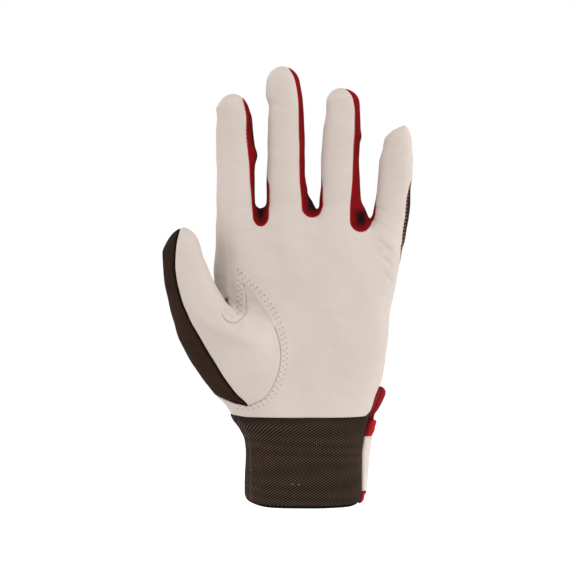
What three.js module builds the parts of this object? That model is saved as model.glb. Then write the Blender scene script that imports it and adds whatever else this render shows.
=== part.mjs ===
import * as THREE from 'three';

// Leather work glove for the left hand, filled as a hand fills it, in millimetres.
// The palm faces -Y and the fingers point to +Z.
// The origin is the centre of the wrist opening at the foot of the knitted cuff.

// Walls and seams
const LEATHER_WALL = 1.3;
const FABRIC_WALL = 1.2;
const CUFF_WALL = 1.8;
const STRAP_WALL = 1.8;
const HALF_SEAM = 0.28;
const LEATHER_CORNER = 1.5;

// Net lines: their ends and spacing, wider along the palm than along the fingers
const NET = {
  x: [{ from: -84, to: 68, step: 4.3 }],
  y: [{ from: -42, to: 28, step: 4.2 }],
  z: [
    { from: 30.3, to: 147, step: 10.6 },
    { from: 147, to: 255, step: 7.2 },
  ],
};

const RELAX = { rounds: 4, pull: 0.4, seat: 3, longestStep: 3 };
const REFINE_ROUNDS = 3;
const SHORTEST_EDGE = 1;
const CLOSING_ROUNDS = 3;

// A net point this near a panel's edge moves onto it, if that is no further than the reach.
const SNAP = { near: 1.1, reach: 1.4, cut: 1, left: 0.03 };

// Cuff height and the height at which the leather starts above it
const CUFF_TOP = 50.3;
const LEATHER_FOOT = 50.7;

// Finger rows from root to tip: left and right side; the red strip's front seam (a place
// across) and back edge (a share of the depth) on the right side; how far back the leather
// wraps on the left side (a share of the depth); middle of the depth; half the depth.
const FINGERS = [
  {
    name: 'index',
    tip: 231.8,
    cap: 9.5,
    root: 147,
    rows: [
      { z: 137, left: -47.5, right: -27.5, seam: -29.5, edge: 0.2, wrap: 0.45, y: -1, depth: 9 },
      { z: 157, left: -48.9, right: -26.9, seam: -28.9, edge: 0.2, wrap: 0.45, y: -1.5, depth: 9.8 },
      { z: 181, left: -48.9, right: -28, seam: -30.4, edge: 0.15, wrap: 0.45, y: -2, depth: 9.4 },
      { z: 197, left: -48.9, right: -26.9, seam: -31.6, edge: -0.35, wrap: 0.45, y: -3, depth: 9.3 },
      { z: 209, left: -48.9, right: -28.1, seam: -32.7, edge: -0.35, wrap: 0.45, y: -4, depth: 9 },
      { z: 219, left: -48.6, right: -29.2, seam: -32.8, edge: 0, wrap: 0.4, y: -5.5, depth: 8.4 },
      { z: 225, left: -48.1, right: -30.6, seam: -33.3, edge: 0.1, wrap: 0.35, y: -6.5, depth: 7.8 },
      { z: 232, left: -47, right: -31.2, seam: -35.6, edge: 0, wrap: 0.3, y: -7.5, depth: 7 },
    ],
  },
  {
    name: 'middle',
    tip: 247.3,
    cap: 9,
    root: 149,
    rows: [
      { z: 137, left: -20, right: 0.5, seam: -1.1, edge: 0.35, wrap: -0.6, y: -0.5, depth: 9 },
      { z: 163, left: -21, right: 2, seam: -0.8, edge: 0.35, wrap: -0.6, y: -0.8, depth: 10 },
      { z: 181, left: -20.8, right: 1.2, seam: -2.8, edge: 0.35, wrap: -0.35, y: -1.5, depth: 9.7 },
      { z: 197, left: -20.3, right: 0.9, seam: -2.9, edge: 0.35, wrap: 0.12, y: -2.5, depth: 9.5 },
      { z: 217, left: -19.7, right: 0.3, seam: -3.4, edge: 0.35, wrap: 0.12, y: -4.5, depth: 9 },
      { z: 225, left: -19.1, right: -0.3, seam: -3.5, edge: 0.35, wrap: 0.12, y: -5.5, depth: 8.8 },
      { z: 233, left: -21.2, right: -1.3, seam: -4, edge: 0.35, wrap: 0.1, y: -6.5, depth: 8.4 },
      { z: 240, left: -21, right: -2.5, seam: -5.4, edge: 0.35, wrap: 0.1, y: -7.5, depth: 7.8 },
      { z: 247, left: -20.6, right: -3.6, seam: -9.2, edge: 0.35, wrap: 0.1, y: -8.5, depth: 7 },
    ],
  },
  {
    name: 'ring',
    tip: 234.9,
    cap: 8.5,
    root: 149,
    rows: [
      { z: 137, left: 9, right: 31, seam: 27, edge: 0.35, wrap: -0.6, y: -0.3, depth: 9 },
      { z: 163, left: 8.8, right: 33, seam: 26, edge: 0.35, wrap: -0.6, y: -0.5, depth: 9.8 },
      { z: 181, left: 9.5, right: 31.7, seam: 27.1, edge: 0.35, wrap: -0.35, y: -1.2, depth: 9.4 },
      { z: 191, left: 9.4, right: 31.6, seam: 27.5, edge: 0.35, wrap: 0.12, y: -1.8, depth: 9.3 },
      { z: 209, left: 10.5, right: 32.2, seam: 28.5, edge: 0.35, wrap: 0.12, y: -3.2, depth: 9 },
      { z: 221, left: 12.2, right: 31.9, seam: 28.9, edge: 0.35, wrap: 0.12, y: -4.7, depth: 8.5 },
      { z: 229, left: 12.6, right: 31.1, seam: 27.7, edge: 0.35, wrap: 0.1, y: -6, depth: 8 },
      { z: 235, left: 12.9, right: 30.2, seam: 22.6, edge: 0.35, wrap: 0.1, y: -7, depth: 7 },
    ],
  },
  {
    name: 'little',
    tip: 213.7,
    cap: 7,
    root: 147,
    rows: [
      { z: 133, left: 36, right: 52, wrap: -0.6, y: 0, depth: 8 },
      { z: 157, left: 38.2, right: 58.6, wrap: -0.6, y: -0.5, depth: 8.6 },
      { z: 169, left: 39.8, right: 60, wrap: -0.35, y: -1, depth: 8.4 },
      { z: 179, left: 41.4, right: 60.6, wrap: 0.12, y: -1.6, depth: 8.2 },
      { z: 193, left: 42.6, right: 62.1, wrap: 0.12, y: -3, depth: 8 },
      { z: 201, left: 44.6, right: 61.8, wrap: 0.12, y: -4, depth: 7.4 },
      { z: 208, left: 47.8, right: 60.5, wrap: 0.12, y: -5, depth: 6.8 },
      { z: 214, left: 52.4, right: 59.8, wrap: 0.12, y: -6, depth: 6 },
    ],
  },
];

// The gaps between the fingers: foot of the red U, the height where the U is full wide, and
// the U's right edge at three heights.
const GAPS = [
  {
    name: 'index_middle',
    foot: 156.7,
    wide: 162.5,
    rows: [
      { z: 157, right: -19.4 },
      { z: 179, right: -19.5 },
      { z: 187, right: -23 },
    ],
  },
  {
    name: 'middle_ring',
    foot: 162,
    wide: 168,
    rows: [
      { z: 162, right: 10.7 },
      { z: 177, right: 10.4 },
      { z: 187, right: 7 },
    ],
  },
  {
    name: 'ring_little',
    foot: 153.8,
    wide: 160,
    rows: [
      { z: 154, right: 39.2 },
      { z: 167, right: 40.2 },
      { z: 175, right: 38.4 },
    ],
  },
];

// Height of the web across the finger roots, higher beside the left finger of each gap
const WEB = [
  { x: -32, z: 170 },
  { x: -27, z: 168.5 },
  { x: -23, z: 163.5 },
  { x: -18, z: 166 },
  { x: -1, z: 176 },
  { x: 4.5, z: 171.5 },
  { x: 8, z: 165 },
  { x: 13, z: 168 },
  { x: 30, z: 173 },
  { x: 34, z: 168 },
  { x: 38, z: 158.5 },
  { x: 44, z: 160 },
];
const WEB_DEPTH_HEIGHT = 17;

// Blend of the finger roots into the palm, wide between the fingers and narrow at the two sides
const ROOT_BLEND = { sides: 1.2, middle: 7, left: [-48, -36], right: [44, 56] };

// Sections are superellipses; palm rows run from wrist to finger roots.
const SECTION_POWER = 2.25;
const PALM_POWER = 2.6;
const PALM = {
  wrap: 0.45,
  rows: [
    { z: 37, left: -37, right: 34.6, y: 0, depth: 21.5 },
    { z: 50, left: -39, right: 35.9, y: 0, depth: 21.5 },
    { z: 55, left: -41, right: 38.8, y: 0, depth: 20.5 },
    { z: 63, left: -44, right: 41.3, y: 0, depth: 19 },
    { z: 71, left: -46, right: 43.6, y: 0, depth: 17.8 },
    { z: 86, left: -47.5, right: 46.4, y: 0, depth: 16.6 },
    { z: 106, left: -49.5, right: 48.7, y: 0, depth: 15.6 },
    { z: 118, left: -50.6, right: 50.9, y: 0, depth: 15 },
    { z: 130, left: -50.6, right: 52.9, y: 0, depth: 14.4 },
    { z: 142, left: -49.8, right: 55.4, y: 0, depth: 13.8 },
    { z: 154, left: -48.6, right: 57.6, y: 0, depth: 13 },
    { z: 163, left: -47.5, right: 58, y: 0, depth: 12.4 },
  ],
};

// Where the side seams turn from the thumb side's depth to the little finger's, and where they
// begin to follow each finger; the turn across a finger is a share of its half width.
const SEAM_TURN = { x: [-18, 22], z: [141, 163], share: 0.4, rightDepth: 0.2 };

// The red strips' back edges: near a fingertip they close up to the leather.
const STRIP_BACK = { leftDepth: 0.72, tipDepth: 0.3, tip: [0.5, 11] };

// Depth of the seam with the back fabric on the little-finger side, where it comes forward
// below the finger
const OUTER_SEAM = [
  { z: 45, y: 8.5 },
  { z: 77, y: 7.5 },
  { z: 117, y: 6 },
  { z: 132, y: -0.5 },
  { z: 140, y: -3.5 },
  { z: 149, y: -4.8 },
  { z: 159, y: -5.4 },
  { z: 173, y: -6.2 },
  { z: 181, y: -4.5 },
  { z: 187, y: 0 },
  { z: 197, y: 0.5 },
  { z: 214, y: -3.5 },
];

// Seam at the back between the thumb's fabric and the hand's
const THUMB_BACK_SEAM = [
  { z: 53, x: -42.5 },
  { z: 61, x: -44.6 },
  { z: 77, x: -48 },
  { z: 97, x: -51.5 },
  { z: 113, x: -54 },
];

// Thumb rows from the wrist to its tip: edges, the front seam of its fabric back, and depth
const THUMB = {
  tip: 155.2,
  cap: 11,
  root: 63,
  rows: [
    { z: 45, left: -39, right: -16, fabric: -28, y: -1, depth: 15 },
    { z: 57, left: -44, right: -17, fabric: -31.5, y: -1.5, depth: 17 },
    { z: 63, left: -48, right: -16, fabric: -37.8, y: -2.5, depth: 18 },
    { z: 72, left: -55.6, right: -14.5, fabric: -44.6, y: -4.5, depth: 18.5 },
    { z: 81, left: -62, right: -15, fabric: -49.8, y: -7, depth: 18.5 },
    { z: 94, left: -69, right: -20, fabric: -57.6, y: -11, depth: 17.5 },
    { z: 106, left: -73.2, right: -32, fabric: -64.6, y: -15.5, depth: 15.2 },
    { z: 114, left: -75, right: -43, fabric: -67.4, y: -18.5, depth: 13.6 },
    { z: 126, left: -77.1, right: -50, fabric: -70, y: -21.5, depth: 12.2 },
    { z: 135, left: -77.8, right: -52.9, fabric: -71.2, y: -22.6, depth: 11.6 },
    { z: 144, left: -77.2, right: -56.1, fabric: -70.6, y: -23.2, depth: 10.8 },
    { z: 155, left: -74.6, right: -58.2, fabric: -67.8, y: -23.6, depth: 9.6 },
  ],
};

// Blend of the thumb into the palm, wide at the wrist and narrow in the fold
const THUMB_JOIN = { wrist: 12, fold: 3, z: [91, 124] };

// The thumb piece is bounded by its outline on the palm, by its seam at the back, and by the
// fold between thumb and palm above these heights.
const THUMB_EDGE = { fold: [103, 115], palmX: [-46, -43], palmZ: [105, 110], front: [-7, -1] };
const THUMB_FABRIC = { depth: 0.4, inner: 2, x: [-50, -44], blend: 2 };

// The thumb piece as seen from the palm side: round its mound, along its foot, far out past the
// thumb, back into the fold beside the palm and up the tongue.
const MOUND = [
  { x: -33.7, z: 124.5 },
  { x: -21.7, z: 109 },
  { x: -13.6, z: 93.5 },
  { x: -13.4, z: 77 },
  { x: -20.2, z: 62.3 },
  { x: -30.7, z: 56.2 },
];
const THUMB_FOOT = [
  { x: -39.2, z: 57.1 },
  { x: -47.4, z: 61 },
  { x: -58, z: 63 },
];
const FAR_SIDE = [
  { x: -108, z: 63 },
  { x: -108, z: 177 },
  { x: -50, z: 177 },
];
const TONGUE = [
  { x: -45.6, z: 110 },
  { x: -43, z: 104.6 },
  { x: -37.6, z: 103 },
  { x: -32.6, z: 108.5 },
  { x: -32.7, z: 118.6 },
];

// Where the net is finer on the palm side: at the tongue's tip and at the wrist below the thumb
const FINE_SPOT_BACK = 4;
const FINE_SPOTS = [
  { x: -32.5, z: 119.5, radius: 8, longest: 2.4 },
  { x: -43, z: 55, radius: 8, longest: 5.2 },
  { x: -35, z: 54, radius: 8, longest: 5.2 },
  { x: -27, z: 54, radius: 8, longest: 5.2 },
];

// Cuff rows from foot to top
const CUFF = [
  { z: 0, left: -31.6, right: 31.6, depth: 21.5 },
  { z: 4, left: -32.9, right: 32.8, depth: 22.6 },
  { z: 14, left: -33, right: 32.8, depth: 22.9 },
  { z: 28, left: -32.4, right: 32.8, depth: 22.6 },
  { z: 36, left: -33, right: 33.8, depth: 22.4 },
  { z: 42, left: -35.6, right: 35, depth: 22.2 },
  { z: 47, left: -39.2, right: 35.6, depth: 22 },
  { z: 50.3, left: -41, right: 35.9, depth: 21.7 },
];
const CUFF_SIDES = 28;
const CUFF_LEVELS = [0, 0.06, 0.25, 0.55, 0.76, 0.9, 1];
const CUFF_SIDE_POWER = 5;
const CUFF_FOOT_RISE = 2.4;
const CUFF_CORNER = { rise: 1.2, x: [32, 40] };

// Strap round the back of the cuff, by angles from the little-finger side, in its red tape. It
// stands off the cuff at that side and lies close on the back.
const STRAP = {
  start: 0.02,
  end: 2.3,
  steps: 12,
  low: 7.9,
  high: 39,
  tapeLow: 0.6,
  tapeHigh: 47.4,
  tapeEnd: 2.5,
  tapeLap: 0.02,
  seat: 0.55,
  tapeExtra: 0.7,
  levels: [19, 27, 35],
  backFrom: 0.3,
  backTo: 1.5,
};
const STRAP_STAND_OFF = [
  { z: 0, gap: 0 },
  { z: 9, gap: 0.2 },
  { z: 21, gap: 1.2 },
  { z: 32, gap: 2.3 },
  { z: 43, gap: 2.2 },
];

// Pull tab: a folded tape that rises beside the leather from the strap's upper tape
const TAB = { width: 4.2, depth: 9, y: 6, power: 3.5, sides: 10, crown: 0.4 };
const TAB_ROWS = [
  { z: 47.9, x: 38.6, size: 1 },
  { z: 53, x: 40, size: 1 },
  { z: 58, x: 42.1, size: 1 },
  { z: 62.5, x: 44, size: 1 },
  { z: 64.8, x: 44.6, size: 0.86 },
  { z: 66, x: 44.8, size: 0.5 },
];

// Colours and finishes
const MATERIALS = {
  leather: { color: 0xdbcfc4, roughness: 0.55, metalness: 0 },
  fabric: { color: 0x3a2c26, roughness: 0.85, metalness: 0 },
  red: { color: 0x9c1d22, roughness: 0.7, metalness: 0 },
  strap: { color: 0xeee4de, roughness: 0.7, metalness: 0 },
};

// Small sums
const FAR = 40;
const clamp = (value, low, high) => Math.min(high, Math.max(low, value));
const mix = (a, b, t) => a + (b - a) * t;

function ramp(value, low, high) {
  const t = clamp((value - low) / (high - low), 0, 1);
  return t * t * (3 - 2 * t);
}

function softMin(a, b, width) {
  const near = Math.max(width - Math.abs(a - b), 0) / width;
  return Math.min(a, b) - near * near * width * 0.25;
}

const softMax = (a, b, width) => -softMin(-a, -b, width);

// A column of a table as a smooth curve through its rows, without overshoot.
function curve(rows, column, axis = 'z') {
  const at = rows.map((row) => row[axis]);
  const value = rows.map((row) => row[column]);
  const step = at.slice(1).map((z, i) => z - at[i]);
  const slope = step.map((size, i) => (value[i + 1] - value[i]) / size);
  const tangent = value.map((_, i) => {
    if (i === 0) return slope[0];
    if (i === slope.length) return slope[i - 1];
    if (slope[i - 1] * slope[i] <= 0) return 0;
    const before = 2 * step[i] + step[i - 1];
    const after = step[i] + 2 * step[i - 1];
    return (before + after) / (before / slope[i - 1] + after / slope[i]);
  });
  return (z) => {
    const here = clamp(z, at[0], at[at.length - 1]);
    let i = 0;
    while (i < step.length - 1 && here > at[i + 1]) i += 1;
    const t = (here - at[i]) / step[i];
    const u = 1 - t;
    const start = value[i] * (1 + 2 * t) * u * u + step[i] * tangent[i] * t * u * u;
    const end = value[i + 1] * (3 - 2 * t) * t * t - step[i] * tangent[i + 1] * t * t * u;
    return start + end;
  };
}

// A level section of a finger, thumb or palm, worked out once for each height.
function sectionOf(rows, extra) {
  const columns = ['left', 'right', 'y', 'depth', ...extra];
  const curves = columns.map((column) => curve(rows, column));
  const known = new Map();
  return (z) => {
    const key = Math.round(z * 1000);
    if (!known.has(key)) {
      const values = curves.map((f) => f(z));
      const section = Object.fromEntries(columns.map((column, i) => [column, values[i]]));
      section.x = (section.left + section.right) / 2;
      section.half = (section.right - section.left) / 2;
      known.set(key, section);
    }
    return known.get(key);
  };
}

const fingers = FINGERS.map((finger) => {
  const extra = 'seam' in finger.rows[0] ? ['seam', 'edge', 'wrap'] : ['wrap'];
  return { ...finger, section: sectionOf(finger.rows, extra) };
});
const palm = { ...PALM, section: sectionOf(PALM.rows, []) };
const thumb = { ...THUMB, section: sectionOf(THUMB.rows, ['fabric']) };
const outerSeam = curve(OUTER_SEAM, 'y');
const webTop = curve(WEB, 'z', 'x');
const thumbBackSeam = curve(THUMB_BACK_SEAM, 'x');
const gapRight = GAPS.map((gap) => curve(gap.rows, 'right'));

// Distance to a round limb whose sections are level and whose ends are domes.
function limbField(limb, x, y, z) {
  const s = limb.section(z);
  const across = Math.abs((x - s.x) / s.half) ** SECTION_POWER;
  const deep = Math.abs((y - s.y) / s.depth) ** SECTION_POWER;
  const round = (across + deep) ** (1 / SECTION_POWER);
  const above = Math.max(z - (limb.tip - limb.cap), 0) / limb.cap;
  const below = Math.max(limb.root - z, 0) / limb.cap;
  return (Math.hypot(round, above, below) - 1) * Math.min(s.half, s.depth);
}

function palmField(x, y, z) {
  const s = palm.section(z);
  const top = webTop(x);
  const above = Math.max(z - (top - WEB_DEPTH_HEIGHT), 0) / WEB_DEPTH_HEIGHT;
  const deep = Math.hypot((y - s.y) / s.depth, above);
  const across = Math.abs((x - s.x) / s.half);
  const round = (across ** PALM_POWER + deep ** PALM_POWER) ** (1 / PALM_POWER);
  return (round - 1) * s.depth;
}

function gloveField(x, y, z) {
  const base = palmField(x, y, z);
  const reach = Math.min(...fingers.map((finger) => limbField(finger, x, y, z)));
  const between = ramp(x, ...ROOT_BLEND.left) * (1 - ramp(x, ...ROOT_BLEND.right));
  const hand = softMin(base, reach, mix(ROOT_BLEND.sides, ROOT_BLEND.middle, between));
  const join = mix(THUMB_JOIN.wrist, THUMB_JOIN.fold, ramp(z, ...THUMB_JOIN.z));
  return softMin(hand, limbField(thumb, x, y, z), join);
}

// Seam between leather and fabric, as a depth for each place seen from the front.
function seamDepth(x, z) {
  const s = palm.section(z);
  const low = mix(s.y + s.depth * palm.wrap, outerSeam(z), ramp(x, ...SEAM_TURN.x));
  const fingerPart = ramp(z, ...SEAM_TURN.z);
  if (fingerPart === 0) return low;
  const depths = fingers.map((finger, i) => {
    const f = finger.section(z);
    const right = i === fingers.length - 1 ? outerSeam(z) : f.y + f.depth * SEAM_TURN.rightDepth;
    return mix(f.y + f.depth * f.wrap, right, rightShare(f, x));
  });
  return mix(low, acrossFingers(depths, x, z), fingerPart);
}

// 0 on the left side of a finger and 1 on its right side
const rightShare = (f, x) => ramp((x - f.x) / f.half, -SEAM_TURN.share, SEAM_TURN.share);

// A value of each finger, blended across the gaps.
function acrossFingers(values, x, z) {
  let value = values[0];
  for (let i = 1; i < fingers.length; i += 1) {
    const before = fingers[i - 1].section(z);
    const after = fingers[i].section(z);
    value = mix(value, values[i], ramp(x, before.right - 1, after.left + 1));
  }
  return value;
}

// Back edge of the red strips; none on the two outer sides of the hand.
function stripBack(x, z) {
  const first = fingers[0].section(z);
  const last = fingers[fingers.length - 1].section(z);
  if (x < first.x || x > last.x) return -FAR;
  const depths = fingers.map((finger) => {
    const f = finger.section(z);
    const open = ramp(finger.tip - z, ...STRIP_BACK.tip);
    const left = mix(f.wrap, STRIP_BACK.leftDepth, open);
    const right = mix(STRIP_BACK.tipDepth, f.edge ?? 0, open);
    return f.y + f.depth * mix(left, right, rightShare(f, x));
  });
  return acrossFingers(depths, x, z);
}

// Distance outside the red U of a gap, seen from the front.
function gapField(i, x, z) {
  const gap = GAPS[i];
  const level = Math.max(z, gap.wide);
  const left = fingers[i].section(level).seam;
  const right = gapRight[i](level);
  const half = Math.max((right - left) / 2, 0.5);
  const below = Math.max(gap.wide - z, 0) / (gap.wide - gap.foot);
  const round = Math.hypot((x - (left + right) / 2) / half, below);
  return (round - 1) * (below > 0 ? Math.min(half, gap.wide - gap.foot) : half);
}

function leatherField(x, y, z) {
  let field = seamDepth(x, z) - y;
  for (let i = 0; i < GAPS.length; i += 1) {
    field = softMin(field, gapField(i, x, z), LEATHER_CORNER);
  }
  return field;
}

// Outline of the thumb piece seen from the front
function splineThrough(points, steps) {
  const path = new THREE.CatmullRomCurve3(points.map((p) => new THREE.Vector3(p.x, 0, p.z)));
  return path.getPoints(steps).map((p) => ({ x: p.x, z: p.z }));
}

const thumbOutline = [
  ...splineThrough(MOUND, 24),
  ...THUMB_FOOT,
  ...FAR_SIDE,
  ...splineThrough([...TONGUE, MOUND[0]], 20).slice(0, -1),
];

function insideOutline(outline, x, z) {
  let nearest = Infinity;
  let inside = false;
  outline.forEach((a, i) => {
    const b = outline[(i + 1) % outline.length];
    const dx = b.x - a.x;
    const dz = b.z - a.z;
    const t = clamp(((x - a.x) * dx + (z - a.z) * dz) / (dx * dx + dz * dz), 0, 1);
    nearest = Math.min(nearest, Math.hypot(x - a.x - t * dx, z - a.z - t * dz));
    if (a.z > z !== b.z > z && x < a.x + ((z - a.z) / dz) * dx) inside = !inside;
  });
  return inside ? nearest : -nearest;
}

// Positive on the thumb piece: by its outline on the palm, by its own form elsewhere.
function thumbPieceField(x, y, z) {
  const outline = insideOutline(thumbOutline, x, z);
  const byForm = palmField(x, y, z) - limbField(thumb, x, y, z);
  const own = mix(thumbBackSeam(z) - x, byForm, ramp(z, ...THUMB_EDGE.fold));
  const below = 1 - ramp(z, ...THUMB_EDGE.palmZ);
  const front = 1 - ramp(y, ...THUMB_EDGE.front);
  const onPalm = Math.max(ramp(x, ...THUMB_EDGE.palmX), below) * front;
  return Math.min(outline, own + FAR * onPalm);
}

function thumbFabricField(x, y, z) {
  const s = thumb.section(z);
  const outer = s.y + THUMB_FABRIC.depth * s.depth;
  const rear = mix(outer, THUMB_FABRIC.inner, ramp(x, ...THUMB_FABRIC.x));
  return softMax(s.fabric - x, y - rear, THUMB_FABRIC.blend);
}

// Height of the cuff's upper edge, which flares towards the thumb side
const cuffEdge = (x) => CUFF_TOP + CUFF_CORNER.rise * ramp(-x, ...CUFF_CORNER.x);
const aboveCuff = (x, z) => z - (cuffEdge(x) + LEATHER_FOOT - CUFF_TOP);

// Each covering panel: how far inside it a point of the glove's surface lies
const PANELS = [
  {
    name: 'palm_leather',
    material: 'leather',
    wall: LEATHER_WALL,
    inside: (x, y, z) => Math.min(leatherField(x, y, z), -thumbPieceField(x, y, z)),
  },
  {
    name: 'hand_back',
    material: 'fabric',
    wall: FABRIC_WALL,
    inside: (x, y, z) =>
      Math.min(-leatherField(x, y, z), y - stripBack(x, z), -thumbPieceField(x, y, z)),
  },
  ...GAPS.map((gap, i) => ({
    name: `fourchette_${gap.name}`,
    material: 'red',
    wall: FABRIC_WALL,
    inside: (x, y, z) =>
      Math.min(
        -leatherField(x, y, z),
        stripBack(x, z) - y,
        x - fingers[i].section(z).x,
        fingers[i + 1].section(z).x - x,
        -thumbPieceField(x, y, z),
      ),
  })),
  {
    name: 'thumb_leather',
    material: 'leather',
    wall: LEATHER_WALL,
    inside: (x, y, z) => Math.min(thumbPieceField(x, y, z), -thumbFabricField(x, y, z)),
  },
  {
    name: 'thumb_back',
    material: 'fabric',
    wall: FABRIC_WALL,
    inside: (x, y, z) => Math.min(thumbPieceField(x, y, z), thumbFabricField(x, y, z)),
  },
];

// Slope of a field at a point
const SLOPE_STEP = 0.05;
const LEAST_SLOPE = 0.05;

function slopeOf(field, p) {
  const d = SLOPE_STEP;
  return new THREE.Vector3(
    field(p.x + d, p.y, p.z) - field(p.x - d, p.y, p.z),
    field(p.x, p.y + d, p.z) - field(p.x, p.y - d, p.z),
    field(p.x, p.y, p.z + d) - field(p.x, p.y, p.z - d),
  ).divideScalar(2 * d);
}

function onto(field, p, rounds) {
  for (let i = 0; i < rounds; i += 1) {
    const slope = slopeOf(field, p);
    const size = Math.max(slope.lengthSq(), LEAST_SLOPE);
    const step = clamp(field(p.x, p.y, p.z) / size, -RELAX.longestStep, RELAX.longestStep);
    p.addScaledVector(slope, -step);
  }
  return p;
}

// The glove's surface as a net: one point in each cell that it crosses, joined in fours.
function netOf(field) {
  const lines = {};
  const count = {};
  for (const axis of ['x', 'y', 'z']) {
    lines[axis] = NET[axis].flatMap(({ from, to, step }) => {
      const parts = Math.round((to - from) / step);
      return Array.from({ length: parts }, (_, i) => from + ((to - from) * i) / parts);
    });
    count[axis] = lines[axis].length;
  }
  const index = (i, j, k) => (k * count.y + j) * count.x + i;
  const corner = (i, j, k) => new THREE.Vector3(lines.x[i], lines.y[j], lines.z[k]);
  const values = new Float64Array(count.x * count.y * count.z);
  for (let k = 0; k < count.z; k += 1) {
    for (let j = 0; j < count.y; j += 1) {
      for (let i = 0; i < count.x; i += 1) {
        const p = corner(i, j, k);
        values[index(i, j, k)] = field(p.x, p.y, p.z);
      }
    }
  }
  const ends = [[0, 0], [0, 1], [1, 0], [1, 1]].flatMap(([a, b]) => [
    [[0, a, b], [1, a, b]],
    [[a, 0, b], [a, 1, b]],
    [[a, b, 0], [a, b, 1]],
  ]);
  const cells = new Map();
  const points = [];
  for (let k = 0; k < count.z - 1; k += 1) {
    for (let j = 0; j < count.y - 1; j += 1) {
      for (let i = 0; i < count.x - 1; i += 1) {
        const sum = new THREE.Vector3();
        let hits = 0;
        for (const [a, b] of ends) {
          const va = values[index(i + a[0], j + a[1], k + a[2])];
          const vb = values[index(i + b[0], j + b[1], k + b[2])];
          if (va < 0 === vb < 0) continue;
          const from = corner(i + a[0], j + a[1], k + a[2]);
          sum.add(from.lerp(corner(i + b[0], j + b[1], k + b[2]), va / (va - vb)));
          hits += 1;
        }
        if (hits === 0) continue;
        cells.set(index(i, j, k), points.length);
        points.push(sum.divideScalar(hits));
      }
    }
  }
  const quads = [];
  const around = [
    [[1, 0, 0], [0, 1, 0], [0, 0, 1]],
    [[0, 1, 0], [0, 0, 1], [1, 0, 0]],
    [[0, 0, 1], [1, 0, 0], [0, 1, 0]],
  ];
  for (let k = 1; k < count.z - 1; k += 1) {
    for (let j = 1; j < count.y - 1; j += 1) {
      for (let i = 1; i < count.x - 1; i += 1) {
        for (const [along, u, v] of around) {
          const va = values[index(i, j, k)];
          const vb = values[index(i + along[0], j + along[1], k + along[2])];
          if (va < 0 === vb < 0) continue;
          const at = (su, sv) => cells.get(index(
            i - su * u[0] - sv * v[0],
            j - su * u[1] - sv * v[1],
            k - su * u[2] - sv * v[2],
          ));
          const quad = [at(0, 0), at(1, 0), at(1, 1), at(0, 1)];
          quads.push(va < 0 ? quad : quad.reverse());
        }
      }
    }
  }
  return { points, quads };
}

// Evens the net out along the surface and seats it there.
function relax(net, field) {
  for (let round = 0; round < RELAX.rounds; round += 1) {
    const sums = net.points.map(() => new THREE.Vector3());
    const counts = net.points.map(() => 0);
    for (const quad of net.quads) {
      quad.forEach((from, i) => {
        for (const to of [quad[(i + 1) % 4], quad[(i + 3) % 4]]) {
          sums[from].add(net.points[to]);
          counts[from] += 1;
        }
      });
    }
    net.points.forEach((p, i) => {
      if (counts[i] > 0) p.lerp(sums[i].divideScalar(counts[i]), RELAX.pull);
      onto(field, p, 1);
    });
  }
  net.points.forEach((p) => onto(field, p, RELAX.seat));
  return net;
}

// Splits the edges that are longer than the limit for their place, and seats the new points.
function refined(points, triangles, limitAt) {
  let faces = triangles;
  for (let round = 0; round < REFINE_ROUNDS; round += 1) {
    const middles = new Map();
    const middle = (a, b) => {
      const key = a < b ? `${a}_${b}` : `${b}_${a}`;
      if (!middles.has(key)) {
        const p = points[a].clone().lerp(points[b], 0.5);
        const long = points[a].distanceTo(points[b]) > limitAt(p);
        middles.set(key, long ? points.push(onto(gloveField, p, RELAX.seat)) - 1 : -1);
      }
      return middles.get(key);
    };
    faces = faces.flatMap((triangle) => {
      const halves = triangle.map((a, i) => middle(a, triangle[(i + 1) % 3]));
      const first = halves.findIndex((m) => m >= 0);
      if (first < 0) return [triangle];
      const loop = [];
      for (let i = 0; i < 3; i += 1) {
        const side = (first + i) % 3;
        if (halves[side] >= 0) loop.push(halves[side]);
        loop.push(triangle[(side + 1) % 3]);
      }
      return loop.slice(2).map((_, i) => [loop[0], loop[i + 1], loop[i + 2]]);
    });
  }
  return faces;
}

function netLimit(p) {
  const near = FINE_SPOTS.find(({ x, z, radius }) => Math.hypot(p.x - x, p.z - z) < radius);
  return near && p.y < FINE_SPOT_BACK ? near.longest : Infinity;
}

// Cuts each quad in two along its shorter diagonal.
function trianglesOf(net) {
  return net.quads.flatMap(([a, b, c, d]) => {
    const p = net.points;
    return p[a].distanceTo(p[c]) < p[b].distanceTo(p[d])
      ? [[a, b, c], [a, c, d]]
      : [[a, b, d], [b, c, d]];
  });
}

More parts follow.
